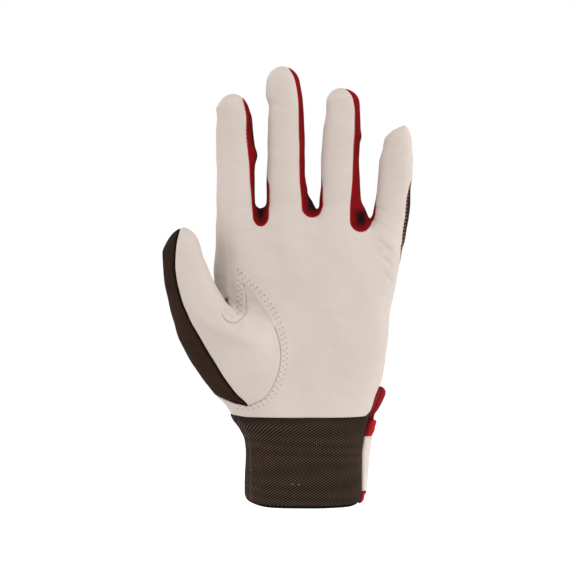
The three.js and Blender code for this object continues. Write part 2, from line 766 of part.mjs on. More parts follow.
// The part of the surface that lies inside a panel, with points near its edge moved onto it.
function clipped(points, triangles, inside) {
  const own = points.map((p) => p.clone());
  const value = own.map((p) => inside(p.x, p.y, p.z));
  own.forEach((p, i) => {
    if (Math.abs(value[i]) > SNAP.near) return;
    onto(inside, p, 2);
    onto(gloveField, p, 2);
    onto(inside, p, 1);
    const left = Math.abs(inside(p.x, p.y, p.z));
    if (left > SNAP.left || p.distanceTo(points[i]) > SNAP.reach) p.copy(points[i]);
    else value[i] = 0;
  });
  const cuts = new Map();
  const cut = (a, b) => {
    const key = a < b ? `${a}_${b}` : `${b}_${a}`;
    if (!cuts.has(key)) {
      const p = own[a].clone().lerp(own[b], value[a] / (value[a] - value[b]));
      const start = p.clone();
      for (const field of [gloveField, inside, gloveField, inside]) onto(field, p, 1);
      if (p.distanceTo(start) > SNAP.cut) p.copy(start);
      cuts.set(key, own.length);
      own.push(p);
    }
    return cuts.get(key);
  };
  const kept = [];
  for (const triangle of triangles) {
    const loop = [];
    triangle.forEach((a, i) => {
      const b = triangle[(i + 1) % 3];
      if (value[a] >= 0) loop.push(a);
      if (value[a] * value[b] < 0) loop.push(cut(a, b));
    });
    if (loop.length < 3 || !triangle.some((a) => value[a] > 0)) continue;
    for (let i = 1; i < loop.length - 1; i += 1) kept.push([loop[0], loop[i], loop[i + 1]]);
  }
  const atEdge = (i) => i >= points.length || value[i] === 0;
  return { points: own, triangles: withoutShortEdges(own, kept, atEdge) };
}

// Closes up edges under the shortest length, keeping the points on the panel's edge.
function withoutShortEdges(points, triangles, atEdge) {
  let kept = triangles;
  for (let round = 0; round < CLOSING_ROUNDS; round += 1) {
    const into = new Map();
    const busy = new Set();
    for (const triangle of kept) {
      triangle.forEach((a, i) => {
        const b = triangle[(i + 1) % 3];
        if (points[a].distanceTo(points[b]) > SHORTEST_EDGE) return;
        if (busy.has(a) || busy.has(b)) return;
        const [stay, go] = atEdge(a) || !atEdge(b) ? [a, b] : [b, a];
        into.set(go, stay);
        triangle.forEach((c) => busy.add(c));
      });
    }
    kept = kept
      .map((triangle) => triangle.map((a) => into.get(a) ?? a))
      .filter(([a, b, c]) => a !== b && b !== c && c !== a);
  }
  return kept;
}

// The largest piece of a surface whose triangles are joined by edges
function largestPiece(triangles) {
  const owner = new Map();
  triangles.forEach(([a, b, c], i) => {
    for (const [from, to] of [[a, b], [b, c], [c, a]]) owner.set(`${from}_${to}`, i);
  });
  const group = triangles.map(() => -1);
  const sizes = [];
  triangles.forEach((_, first) => {
    if (group[first] >= 0) return;
    const open = [first];
    group[first] = sizes.length;
    let size = 0;
    while (open.length > 0) {
      const [a, b, c] = triangles[open.pop()];
      size += 1;
      for (const key of [`${b}_${a}`, `${c}_${b}`, `${a}_${c}`]) {
        const next = owner.get(key);
        if (next === undefined || group[next] >= 0) continue;
        group[next] = sizes.length;
        open.push(next);
      }
    }
    sizes.push(size);
  });
  const best = sizes.indexOf(Math.max(...sizes));
  return triangles.filter((_, i) => group[i] === best);
}

// Drops the triangles of the smaller fan where two fans meet in one point only.
function withoutTouching(triangles) {
  const around = new Map();
  triangles.forEach((triangle, i) => {
    for (const a of triangle) {
      if (!around.has(a)) around.set(a, []);
      around.get(a).push(i);
    }
  });
  const dropped = new Set();
  for (const [centre, members] of around) {
    const fans = [];
    for (const i of members) {
      const others = triangles[i].filter((a) => a !== centre);
      const joined = fans.filter((fan) => fan.points.some((a) => others.includes(a)));
      const fan = { members: [i], points: others };
      for (const old of joined) {
        fan.members.push(...old.members);
        fan.points.push(...old.points);
        fans.splice(fans.indexOf(old), 1);
      }
      fans.push(fan);
    }
    fans.sort((a, b) => b.members.length - a.members.length);
    for (const fan of fans.slice(1)) fan.members.forEach((i) => dropped.add(i));
  }
  return triangles.filter((_, i) => !dropped.has(i));
}

// A sheet thickened inward into a closed wall
function wallOf({ points, triangles }, wall) {
  const numbers = new Map();
  const outer = [];
  const number = (i) => {
    if (!numbers.has(i)) {
      numbers.set(i, outer.length);
      outer.push(points[i]);
    }
    return numbers.get(i);
  };
  let sheet = largestPiece(triangles);
  for (let count = 0; count !== sheet.length;) {
    count = sheet.length;
    sheet = largestPiece(withoutTouching(sheet));
  }
  const faces = sheet.map((triangle) => triangle.map(number));
  const inner = outer.map((p) => {
    const slope = slopeOf(gloveField, p).normalize();
    return p.clone().addScaledVector(slope, -wall);
  });
  const count = outer.length;
  const sides = new Set(faces.flatMap(([a, b, c]) => [`${a}_${b}`, `${b}_${c}`, `${c}_${a}`]));
  const index = [];
  for (const [a, b, c] of faces) {
    index.push(a, b, c, a + count, c + count, b + count);
    for (const [from, to] of [[a, b], [b, c], [c, a]]) {
      if (sides.has(`${to}_${from}`)) continue;
      index.push(to, from, from + count, to, from + count, to + count);
    }
  }
  return geometryOf([...outer, ...inner], index);
}

function geometryOf(points, index) {
  const geometry = new THREE.BufferGeometry();
  geometry.setAttribute('position', new THREE.Float32BufferAttribute(
    points.flatMap((p) => [p.x, p.y, p.z]),
    3,
  ));
  geometry.setIndex(index);
  geometry.computeVertexNormals();
  return geometry;
}

// A closed solid between two grids of points that share their borders' order.
function slabOf(outer, inner, closed) {
  const rows = outer.length;
  const columns = outer[0].length;
  const points = [...outer.flat(), ...inner.flat()];
  const shift = rows * columns;
  const at = (i, j) => i * columns + (j % columns);
  const index = [];
  const quad = (a, b, c, d) => index.push(a, b, c, a, c, d);
  const last = closed ? columns : columns - 1;
  for (let j = 0; j < last; j += 1) {
    for (let i = 0; i < rows - 1; i += 1) {
      const [a, b, c, d] = [at(i, j), at(i, j + 1), at(i + 1, j + 1), at(i + 1, j)];
      quad(a, b, c, d);
      quad(d + shift, c + shift, b + shift, a + shift);
    }
    quad(at(0, j + 1), at(0, j), at(0, j) + shift, at(0, j + 1) + shift);
    quad(at(rows - 1, j), at(rows - 1, j + 1), at(rows - 1, j + 1) + shift, at(rows - 1, j) + shift);
  }
  if (!closed) {
    for (let i = 0; i < rows - 1; i += 1) {
      quad(at(i, 0), at(i + 1, 0), at(i + 1, 0) + shift, at(i, 0) + shift);
      const j = columns - 1;
      quad(at(i + 1, j), at(i, j), at(i, j) + shift, at(i + 1, j) + shift);
    }
  }
  return geometryOf(points, index);
}

// Cuff section at a height: a point at an angle, moved outwards by an offset
const cuffCurves = {
  left: curve(CUFF, 'left'),
  right: curve(CUFF, 'right'),
  depth: curve(CUFF, 'depth'),
};

function cuffPoint(angle, z, offset) {
  const left = cuffCurves.left(z);
  const right = cuffCurves.right(z);
  const depth = cuffCurves.depth(z);
  const half = (right - left) / 2;
  const power = 2 / SECTION_POWER;
  const c = Math.cos(angle);
  const s = Math.sin(angle);
  const x = (left + right) / 2 + (half + offset) * Math.sign(c) * Math.abs(c) ** power;
  const y = (depth + offset) * Math.sign(s) * Math.abs(s) ** power;
  return new THREE.Vector3(x, y, z);
}

function makeCuff() {
  const grid = (offset) => CUFF_LEVELS.map((level) => {
    const ring = [];
    for (let i = 0; i < CUFF_SIDES; i += 1) {
      const angle = (i / CUFF_SIDES) * Math.PI * 2;
      const side = Math.abs(Math.cos(angle)) ** CUFF_SIDE_POWER;
      const p = cuffPoint(angle, level * CUFF_TOP, offset);
      p.z = mix(CUFF_FOOT_RISE * side, cuffEdge(p.x), level);
      ring.push(p);
    }
    return ring;
  });
  return slabOf(grid(0), grid(-CUFF_WALL), true);
}

// How far the strap stands off the cuff
const standOff = curve(STRAP_STAND_OFF, 'gap');
const sideShare = (angle) => 1 - ramp(angle, STRAP.backFrom, STRAP.backTo);
const strapSeat = (angle, z) => STRAP.seat + standOff(z) * sideShare(angle);

function bandGrid(levels, start, end, offset) {
  return levels.map((z) => {
    const row = [];
    for (let i = 0; i <= STRAP.steps; i += 1) {
      const angle = mix(start, end, i / STRAP.steps);
      row.push(cuffPoint(angle, z, strapSeat(angle, z) + offset));
    }
    return row;
  });
}

function makeStrap() {
  const levels = [STRAP.low, ...STRAP.levels, STRAP.high];
  const outer = bandGrid(levels, STRAP.start, STRAP.end, STRAP_WALL);
  return slabOf(outer, bandGrid(levels, STRAP.start, STRAP.end, 0), false);
}

// The red tape runs along the strap's foot, round its far end and back along its top.
function makeTape() {
  const gap = 2 * HALF_SEAM;
  const between = [STRAP.low - gap, ...STRAP.levels, STRAP.high + gap];
  const levels = [STRAP.tapeLow, ...between, STRAP.tapeHigh];
  const steps = STRAP.steps;
  const angles = [];
  for (let i = 0; i <= steps; i += 1) {
    angles.push(mix(STRAP.start, STRAP.end + STRAP.tapeLap, i / steps));
  }
  angles.push(STRAP.tapeEnd);
  const rows = levels.length;
  const columns = angles.length;
  const solid = (i, j) => i === 0 || i === rows - 2 || j === columns - 2;
  const points = [];
  for (const offset of [STRAP_WALL + STRAP.tapeExtra, 0]) {
    for (const z of levels) {
      for (const angle of angles) {
        points.push(cuffPoint(angle, z, strapSeat(angle, z) + offset));
      }
    }
  }
  const shift = rows * columns;
  const at = (i, j) => i * columns + j;
  const isSolid = (i, j) => i >= 0 && j >= 0 && i < rows - 1 && j < columns - 1 && solid(i, j);
  const index = [];
  const quad = (a, b, c, d) => index.push(a, b, c, a, c, d);
  for (let i = 0; i < rows - 1; i += 1) {
    for (let j = 0; j < columns - 1; j += 1) {
      if (!solid(i, j)) continue;
      const [a, b, c, d] = [at(i, j), at(i, j + 1), at(i + 1, j + 1), at(i + 1, j)];
      quad(a, b, c, d);
      quad(d + shift, c + shift, b + shift, a + shift);
      if (!isSolid(i - 1, j)) quad(b, a, a + shift, b + shift);
      if (!isSolid(i + 1, j)) quad(d, c, c + shift, d + shift);
      if (!isSolid(i, j - 1)) quad(a, d, d + shift, a + shift);
      if (!isSolid(i, j + 1)) quad(c, b, b + shift, c + shift);
    }
  }
  return usedOnly(points, index);
}

// Drops the points that no face uses.
function usedOnly(points, index) {
  const used = [...new Set(index)];
  const place = new Map(used.map((old, i) => [old, i]));
  return geometryOf(used.map((i) => points[i]), index.map((i) => place.get(i)));
}

function makeTab() {
  const power = 2 / TAB.power;
  const points = [];
  for (const row of TAB_ROWS) {
    for (let i = 0; i < TAB.sides; i += 1) {
      const angle = ((i + 0.5) / TAB.sides) * Math.PI * 2;
      const c = Math.cos(angle);
      const s = Math.sin(angle);
      const x = row.x + (TAB.width / 2) * row.size * Math.sign(c) * Math.abs(c) ** power;
      const y = TAB.y + (TAB.depth / 2) * row.size * Math.sign(s) * Math.abs(s) ** power;
      points.push(new THREE.Vector3(x, y, row.z));
    }
  }
  const foot = points.length;
  points.push(new THREE.Vector3(TAB_ROWS[0].x, TAB.y, TAB_ROWS[0].z));
  const top = TAB_ROWS[TAB_ROWS.length - 1];
  points.push(new THREE.Vector3(top.x, TAB.y, top.z + TAB.crown));
  const index = [];
  for (let j = 0; j < TAB.sides; j += 1) {
    const next = (j + 1) % TAB.sides;
    index.push(foot, next, j);
    const edge = (TAB_ROWS.length - 1) * TAB.sides;
    index.push(foot + 1, edge + j, edge + next);
    for (let i = 0; i < TAB_ROWS.length - 1; i += 1) {
      const a = i * TAB.sides;
      const b = a + TAB.sides;
      index.push(a + j, a + next, b + next, a + j, b + next, b + j);
    }
  }
  return geometryOf(points, index);
}

function meshOf(name, geometry, finish) {
  const mesh = new THREE.Mesh(geometry, new THREE.MeshStandardMaterial(MATERIALS[finish]));
  mesh.name = name;
  return mesh;
}

const net = relax(netOf(gloveField), gloveField);
const surface = refined(net.points, trianglesOf(net), netLimit);
const glove = new THREE.Group();
for (const panel of PANELS) {
  const inside = (x, y, z) => Math.min(panel.inside(x, y, z) - HALF_SEAM, aboveCuff(x, z));
  const sheet = clipped(net.points, surface, inside);
  glove.add(meshOf(panel.name, wallOf(sheet, panel.wall), panel.material));
}
glove.add(meshOf('cuff', makeCuff(), 'fabric'));
glove.add(meshOf('wrist_strap', makeStrap(), 'strap'));
glove.add(meshOf('strap_binding', makeTape(), 'red'));
glove.add(meshOf('pull_tab', makeTab(), 'red'));

export default glove;
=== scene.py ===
"""The looks of a leather work glove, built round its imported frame.

The glove's form is a field in millimetres: fingers, thumb and palm are limbs with level sections
that melt into each other. A net of small cells is laid over it and cut into the sewn panels, whose
edges roll inward along the seams. Knit, strap, tapes and stitches have classes of their own.
"""

import logging
import math
from dataclasses import dataclass, field
from enum import Enum
from typing import Callable, ClassVar, Iterable

import bpy
import numpy as np
from bpy.types import Material, Node, NodeSocket, NodeTree, Object, Scene
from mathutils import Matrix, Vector
from mathutils.kdtree import KDTree


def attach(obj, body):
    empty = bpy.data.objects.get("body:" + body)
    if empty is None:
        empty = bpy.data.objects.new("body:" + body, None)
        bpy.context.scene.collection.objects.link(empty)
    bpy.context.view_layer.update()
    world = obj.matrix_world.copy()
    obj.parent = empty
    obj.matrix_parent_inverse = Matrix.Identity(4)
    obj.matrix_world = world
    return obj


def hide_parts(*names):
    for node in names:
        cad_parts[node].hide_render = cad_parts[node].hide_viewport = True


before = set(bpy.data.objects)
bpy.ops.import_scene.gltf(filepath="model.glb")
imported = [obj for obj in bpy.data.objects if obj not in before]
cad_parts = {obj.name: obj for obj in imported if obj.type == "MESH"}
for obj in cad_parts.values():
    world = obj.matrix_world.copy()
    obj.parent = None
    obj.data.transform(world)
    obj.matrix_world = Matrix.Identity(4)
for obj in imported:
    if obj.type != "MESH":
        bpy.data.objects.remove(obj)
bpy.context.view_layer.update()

LOG = logging.getLogger("glove")
MM = 0.001  # a millimetre, in the metres of the scene
FAR = 40.0  # a distance, in millimetres, that outweighs any seam's
LEAST_LENGTH, LEAST_SQUARE = 1e-9, 1e-12
Array = np.ndarray
Field = Callable[[Array, Array, Array], Array]
Surface = tuple[Array, Array]
Shade = tuple[int, int, int]
Places = tuple[tuple[float, float], ...]


class Slot(Enum):
    """The record's material slots."""

    LEATHER = "grain_leather"
    RED_FABRIC = "red_fabric"
    BROWN_FABRIC = "brown_fabric"
    KNIT = "brown_knit"
    STRAP = "white_strap"
    TAPE = "red_tape"


class Axis(Enum):
    """A direction of the shared frame, by its column."""

    X = 0
    Y = 1
    Z = 2


def mix(a: Array, b: Array, share: Array) -> Array:
    """Goes from a to b by a share."""
    return a + (b - a) * share


def ramp(value: Array, low: Array, high: Array) -> Array:
    """Rises smoothly from 0 at low to 1 at high."""
    share = np.clip((value - low) / (high - low), 0.0, 1.0)
    return share * share * (3 - 2 * share)


def soft_min(a: Array, b: Array, width: Array) -> Array:
    """The smaller of two fields, rounded where they meet."""
    near = np.maximum(width - np.abs(a - b), 0) / width
    return np.minimum(a, b) - near * near * width * 0.25


def soft_max(a: Array, b: Array, width: float) -> Array:
    """The larger of two fields, rounded where they meet."""
    return -soft_min(-a, -b, width)


def unit(vectors: Array) -> Array:
    """Vectors brought to length 1."""
    return vectors / np.maximum(np.linalg.norm(vectors, axis=-1, keepdims=True), LEAST_LENGTH)


def apart(a: Array, b: Array) -> Array:
    """Distance from each point to its partner."""
    return np.linalg.norm(a - b, axis=1)


def rounding(gap: Array, radius: float) -> Array:
    """How far a rounded edge has dropped: 1 on the edge, 0 a radius inside it."""
    share = np.clip(1 - gap / radius, 0, 1)
    return 1 - np.sqrt(1 - share**2)


def in_plane(places: Array) -> Array:
    """Places seen from the front, as points of one plane."""
    return np.pad(places, ((0, 0), (0, 1)))


class Table:
    """Rows of numbers under named columns, read as smooth curves without overshoot."""

    def __init__(self, columns: str, *rows: tuple[float, ...]) -> None:
        """Keeps the rows and works out the slope at each.

        Args:
            columns: Names parted by spaces; the first is what the curves run along.
            rows: One tuple of numbers for each row.
        """
        self.columns = columns.split()[1:]
        numbers = np.array(rows, float)
        self.at = numbers[:, 0]
        self.values = numbers[:, 1:]
        self.step = np.diff(self.at)
        slope = np.diff(self.values, axis=0) / self.step[:, None]
        before = (2 * self.step[1:] + self.step[:-1])[:, None]
        after = (self.step[1:] + 2 * self.step[:-1])[:, None]
        turns = slope[:-1] * slope[1:] <= 0
        with np.errstate(divide="ignore", invalid="ignore"):
            inner = (before + after) / (before / slope[:-1] + after / slope[1:])
        inner[turns] = 0
        self.tangent = np.vstack([slope[:1], inner, slope[-1:]])

    def __contains__(self, column: str) -> bool:
        """Says whether the table has a column."""
        return column in self.columns

    def __call__(self, column: str, place: Array) -> Array:
        """Reads one column.

        Args:
            column: The column's name.
            place: Where to read it.

        Returns:
            The values there.
        """
        c = self.columns.index(column)
        here = np.clip(place, self.at[0], self.at[-1])
        i = np.clip(np.searchsorted(self.at, here, side="right") - 1, 0, len(self.step) - 1)
        t = (here - self.at[i]) / self.step[i]
        u = 1 - t
        value = self.values[:, c]
        tangent = self.tangent[:, c] if len(self.at) > 2 else np.diff(value)[[0, 0]] / self.step[0]
        start = value[i] * (1 + 2 * t) * u * u + self.step[i] * tangent[i] * t * u * u
        end = value[i + 1] * (3 - 2 * t) * t * t - self.step[i] * tangent[i + 1] * t * t * u
        return start + end


class Sections:
    """The level sections of a limb, read from its table once for close heights."""

    LOW, HIGH, STEP = 0.0, 262.0, 0.25

    def __init__(self, table: Table) -> None:
        """Reads every column of the table at close heights."""
        levels = np.arange(self.LOW, self.HIGH, self.STEP)
        self.known = {name: table(name, levels) for name in table.columns}
        self.known["x"] = (self.known["left"] + self.known["right"]) / 2
        self.known["half"] = (self.known["right"] - self.known["left"]) / 2

    def __call__(self, name: str, z: Array) -> Array:
        """Reads one measure of the section at heights z."""
        place = np.clip((z - self.LOW) / self.STEP, 0, len(self.known["x"]) - 1.001)
        i = place.astype(int)
        row = self.known[name]
        return row[i] + (row[i + 1] - row[i]) * (place - i)


@dataclass
class Limb:
    """A finger or the thumb: a round limb with domes at its ends.

    Its rows give the sides, how deep it is, and the places of its seams: the red strip's front
    seam and back edge on the right side, and how far the leather wraps on the left side.
    """

    tip: float
    cap: float
    root: float
    table: Table
    power: float = 2.25
    turn: float = 0.4
    at: Sections = field(init=False)

    def __post_init__(self) -> None:
        """Reads the sections once."""
        self.at = Sections(self.table)

    def distance(self, x: Array, y: Array, z: Array) -> Array:
        """Distance outside the limb, in millimetres."""
        across = np.abs((x - self.at("x", z)) / self.at("half", z)) ** self.power
        deep = np.abs((y - self.at("y", z)) / self.at("depth", z)) ** self.power
        round_square = (across + deep) ** (2 / self.power)
        above = np.maximum(z - (self.tip - self.cap), 0) / self.cap
        below = np.maximum(self.root - z, 0) / self.cap
        least = np.minimum(self.at("half", z), self.at("depth", z))
        return (np.sqrt(round_square + above**2 + below**2) - 1) * least

    def right_share(self, x: Array, z: Array) -> Array:
        """0 on the limb's left side and 1 on its right side."""
        return ramp((x - self.at("x", z)) / self.at("half", z), -self.turn, self.turn)


@dataclass
class Gap:
    """The red U between two fingers: its foot, where it is full wide, and its right edge.

    Its fabric is painted with shadow in the pocket, up to a height and clear of the leather by a
    margin.
    """

    name: str
    foot: float
    wide: float
    pocket_shadow_top: float
    margin: float
    right: Table


def lengths(path: Array) -> Array:
    """How far along a line of points each of them lies."""
    return np.concatenate([[0], np.cumsum(apart(path[1:], path[:-1]))])


def picked(path: Array, wanted: Array) -> Array:
    """Points of a line at wanted lengths along it."""
    along = lengths(path)
    return np.stack([np.interp(wanted, along, column) for column in path.T], axis=1)


SPLINE_STEPS = 24


def spline(points: Places, count: int) -> Array:
    """A smooth line through a few points, evenly stepped.

    Args:
        points: Places it goes through.
        count: How many steps it gets.

    Returns:
        Its points, one more than the steps.
    """
    given = np.array(points, float)
    if len(given) < 3:
        share = np.linspace(0, 1, count + 1)[:, None]
        return given[0] + (given[-1] - given[0]) * share
    ends = np.vstack([2 * given[0] - given[1], given, 2 * given[-1] - given[-2]])
    fine = []
    for p0, p1, p2, p3 in zip(ends, ends[1:], ends[2:], ends[3:]):
        t = np.linspace(0, 1, SPLINE_STEPS, endpoint=False)[:, None]
        bend = (2 * p0 - 5 * p1 + 4 * p2 - p3) * t * t
        fine.append((2 * p1 + (p2 - p0) * t + bend + (3 * p1 - p0 - 3 * p2 + p3) * t**3) / 2)
    path = np.vstack([*fine, given[-1:]])
    return picked(path, np.linspace(0, lengths(path)[-1], count + 1))


def to_line(line: Array, places: Array) -> Surface:
    """Distance from places to a line of points, and how far along it the nearest point is.

    Args:
        line: The line's points.
        places: Where to measure from.

    Returns:
        The distances, and the shares of the line from 0 to 1.
    """
    least, share = np.full(len(places), np.inf), np.zeros(len(places))
    for i, (a, b) in enumerate(zip(line, line[1:])):
        way = b - a
        t = np.clip(((places - a) @ way) / max(way @ way, LEAST_SQUARE), 0, 1)
        gap = apart(places - a, t[:, None] * way)
        closer = gap < least
        least[closer] = gap[closer]
        share[closer] = (i + t[closer]) / (len(line) - 1)
    return least, share


def signed_inside(outline: Array, x: Array, z: Array) -> Array:
    """Distance to a closed outline, positive inside it."""
    least, inside = np.full(x.shape, np.inf), np.zeros(x.shape, bool)
    for a, b in zip(outline, np.roll(outline, -1, axis=0)):
        dx, dz = b - a
        square = max(dx * dx + dz * dz, LEAST_SQUARE)
        t = np.clip(((x - a[0]) * dx + (z - a[1]) * dz) / square, 0, 1)
        least = np.minimum(least, np.hypot(x - a[0] - t * dx, z - a[1] - t * dz))
        if dz != 0:
            inside ^= ((a[1] > z) != (b[1] > z)) & (x < a[0] + (z - a[1]) / dz * dx)
    return np.where(inside, least, -least)


class GloveForm:
    """The whole glove's form, and where each sewn panel of it lies. Millimetres, palm to -Y."""

    INDEX = Limb(230.7, 7.5, 128, Table(
        "z left right seam edge wrap y depth",
        (137, -47.5, -27.5, -29.5, 0.2, 0.45, -1, 9),
        (157, -48.9, -26.9, -28.2, 0.2, 0.45, -1.5, 9.8),
        (181, -48.9, -27.6, -29.8, 0.15, 0.45, -2, 9.4),
        (191, -48.9, -27.0, -30.4, -0.2, 0.45, -2.6, 9.3),
        (196.5, -48.9, -25.7, -30.9, -0.35, 0.45, -3, 9.3),
        (202, -48.9, -27.1, -31.3, -0.35, 0.45, -3.4, 9.1),
        (209, -48.9, -28.1, -31.8, -0.35, 0.45, -4, 9),
        (217, -48.6, -29.0, -31.8, 0, 0.4, -5.3, 8.5),
        (222.4, -49.3, -30.6, -32.6, 0.1, 0.35, -6.2, 7.9),
        (225, -48.3, -31.2, -33.2, 0.1, 0.35, -6.5, 7.7),
        (232, -47.4, -32, -35.6, 0, 0.3, -7.5, 7),
    ))
    MIDDLE = Limb(246.0, 9, 149, Table(
        "z left right seam edge wrap y depth",
        (137, -20, 0.5, -1.1, 0.6, -0.6, -0.5, 9),
        (163, -21.6, 2, -0.9, 0.6, -0.6, -0.8, 10),
        (171, -21.2, 2.3, -1.2, 0.6, -0.5, -1.1, 9.9),
        (177, -21, 2.4, -1.7, 0.6, -0.42, -1.3, 9.8),
        (182, -20.9, 1.7, -2.1, 0.6, -0.35, -1.5, 9.7),
        (188, -20.6, 1.1, -2.1, 0.6, -0.1, -1.9, 9.6),
        (197, -20.3, 0.9, -2.2, 0.6, 0.12, -2.5, 9.5),
        (215, -19.8, 0.4, -2.6, 0.6, 0.12, -4.4, 9),
        (223, -19.2, -0.2, -2.7, 0.6, 0.12, -5.4, 8.8),
        (230.5, -21.2, -1.1, -3.3, 0.6, 0.1, -6.3, 8.4),
        (238, -21, -2.4, -5.1, 0.6, 0.1, -7.4, 7.8),
        (246, -20.6, -3.6, -9.2, 0.6, 0.1, -8.5, 7),
    ))
    RING = Limb(234.0, 8.5, 149, Table(
        "z left right seam edge wrap y depth",
        (137, 9, 31, 27, 0.6, -0.6, -0.3, 9),
        (163, 8.8, 33, 25.8, 0.6, -0.6, -0.5, 9.8),
        (181, 9.7, 31.7, 27.2, 0.6, -0.35, -1.2, 9.4),
        (191, 9.9, 31.6, 27.6, 0.6, 0.12, -1.8, 9.3),
        (203, 10.6, 32.0, 28.3, 0.6, 0.12, -2.8, 9.1),
        (207, 10.9, 32.9, 28.5, 0.6, 0.12, -3.1, 9),
        (212, 11.4, 32.1, 28.8, 0.6, 0.12, -3.6, 8.9),
        (221, 12.5, 31.6, 28.7, 0.6, 0.12, -4.7, 8.5),
        (225, 12.5, 31.4, 28, 0.6, 0.11, -5.3, 8.3),
        (229, 12.4, 31.1, 26.9, 0.6, 0.1, -6, 8),
        (235, 11.9, 30.2, 22.2, 0.6, 0.1, -7, 7),
    ))
    LITTLE = Limb(213.2, 3.6, 147, Table(
        "z left right wrap y depth",
        (133, 36, 52, -0.6, 0, 8),
        (157, 38.2, 58.6, -0.6, -0.5, 8.6),
        (169, 39.8, 60, -0.35, -1, 8.4),
        (179, 41.4, 60.6, 0.12, -1.6, 8.2),
        (187, 42.2, 61.5, 0.12, -2.4, 8.1),
        (193, 42.8, 61.8, 0.12, -3, 8),
        (200.5, 44.9, 61.1, 0.12, -4, 7.4),
        (205.5, 45.6, 60.5, 0.12, -4.7, 6.8),
        (209.5, 48.6, 59.5, 0.12, -5.3, 5.8),
        (213.2, 54.2, 59.0, 0.12, -6, 4.6),
    ))
    FINGERS = (INDEX, MIDDLE, RING, LITTLE)
    THUMB = Limb(155.2, 11, 63, Table(
        "z left right fabric y depth",
        (45, -37.5, -16, -28, -1, 15),
        (57, -41.9, -17, -31, -1.5, 17),
        (63, -47.6, -16, -36.8, -2.5, 18),
        (72, -55.2, -14.5, -43.7, -4.5, 18.5),
        (81, -61.8, -15, -49.4, -7, 18.5),
        (94, -69, -20, -56.6, -11, 17.5),
        (106, -72.7, -32, -63.1, -15.5, 15.2),
        (114, -74.6, -43, -66.4, -18.5, 13.6),
        (126, -77.1, -50, -69.4, -21.5, 12.2),
        (135, -77.9, -53.7, -70.3, -22.6, 11.6),
        (141, -77.9, -55.8, -70.1, -23, 11.1),
        (147, -76, -57.3, -69.6, -23.3, 10.4),
        (155, -73.2, -58.8, -67.8, -23.6, 9.6),
    ))
    PALM = Table(
        "z left right y depth",
        (37, -37, 34.6, 0, 21.5),
        (50, -38.2, 35.9, 0, 21.5),
        (55, -39.8, 38.1, 0, 20.5),
        (61, -42.8, 40.2, 0, 19.3),
        (67, -45, 43.2, 0, 18.4),
        (71, -46, 44.7, 0, 17.8),
        (86, -47.5, 46.4, 0, 16.6),
        (106, -49.5, 48.7, 0, 15.6),
        (118, -50.6, 50.9, 0, 15),
        (130, -50.6, 52.9, 0, 14.4),
        (142, -49.8, 55.4, 0, 13.5),
        (154, -48.6, 57.6, 0, 12.3),
        (163, -47.5, 58, 0, 11.4),
    )
    PALM_POWER = 3.0
    PALM_WRAP = 0.45
    GAPS = (
        Gap("index_middle", 156.4, 162.3, 171.0, 1.9, Table(
            "z right", (157, -19.4), (179, -19.5), (187, -23),
        )),
        Gap("middle_ring", 161.3, 167.6, 175.5, 2.8, Table(
            "z right", (162, 10.3), (177, 10.4), (187, 7),
        )),
        Gap("ring_little", 153.2, 159.6, 165.6, 3.0, Table(
            "z right", (154, 37.6), (162, 38.3), (167, 39), (175, 38.4),
        )),
    )
    WEB = Table(
        "x z",
        (-32, 170), (-27.5, 168), (-24.5, 167), (-21.5, 167), (-18, 168.5), (-1, 176),
        (4.5, 171.5), (8, 165), (13, 168), (30, 173), (34, 168), (38, 159), (44, 160),
    )
    WEB_HEIGHT, WEB_POWER = 17.0, 1.7
    ROOT_SIDES, ROOT_MIDDLE = 1.2, 7.0
    ROOT_LEFT, ROOT_RIGHT = (-48.0, -36.0), (44.0, 56.0)
    GAP_SHARE, GAP_HEIGHT = 0.4, (163.0, 171.0)
    SPREAD, LEAST_HALF = 1.0, 0.5
    POCKET_EDGE = 3.0
    SEAM_TURN_X, SEAM_TURN_Z = (-18.0, 22.0), (141.0, 163.0)
    RIGHT_DEPTH = 0.2
    STRIP_LEFT, STRIP_TIP, STRIP_TIP_REACH = 0.72, 0.3, (0.5, 11.0)
    OUTER_SEAM = Table(
        "z y",
        (45, 8.5), (77, 7.5), (117, 5.4), (132, -1.5), (140, -4.4), (149, -5.7),
        (159, -6.3), (173, -6.9), (181, -5.4), (185, 0), (197, 0.5), (214, -3.5),
    )
    THUMB_BACK_SEAM = Table("z x", (53, -42.5), (61, -44.6), (77, -48), (97, -51.5), (113, -54))
    THUMB_JOIN, THUMB_JOIN_Z = (12.0, 2.2), (91.0, 124.0)
    FOLD_Z = (103.0, 115.0)
    FOLD_PALM_X, FOLD_PALM_Z, FOLD_FRONT = (-46.0, -43.0), (105.0, 110.0), (-7.0, -1.0)
    MOUND = (
        (-33.7, 124.5), (-21.7, 109), (-13.6, 93.5), (-13.4, 77), (-20.2, 62.3), (-30.7, 56.2),
    )
    THUMB_FOOT = ((-38.5, 57.9), (-47.2, 61.2), (-58, 63))
    FAR_SIDE = ((-108, 63), (-108, 177), (-50, 177))
    TONGUE = ((-45.6, 110), (-43, 104.6), (-37.6, 103), (-32.6, 108.5), (-32.7, 118.6))
    LEATHER_CORNER = 1.5
    FABRIC_DEPTH, FABRIC_CORNER = 0.4, 2.0
    FABRIC_ROOT, FABRIC_ROOT_X = 2.0, (-50.0, -44.0)
    CUFF_TOP, FOOT_GAP = 50.3, 0.02
    LEFT_CORNER_RISE, LEFT_CORNER = 0.7, (32.0, 40.0)
    RIGHT_CORNER_RISE, RIGHT_CORNER = 2.2, (34.8, 37.4)
    FRONT_LEVELS, FRONT_HALVINGS = (-42.0, 10.0, 105), 14

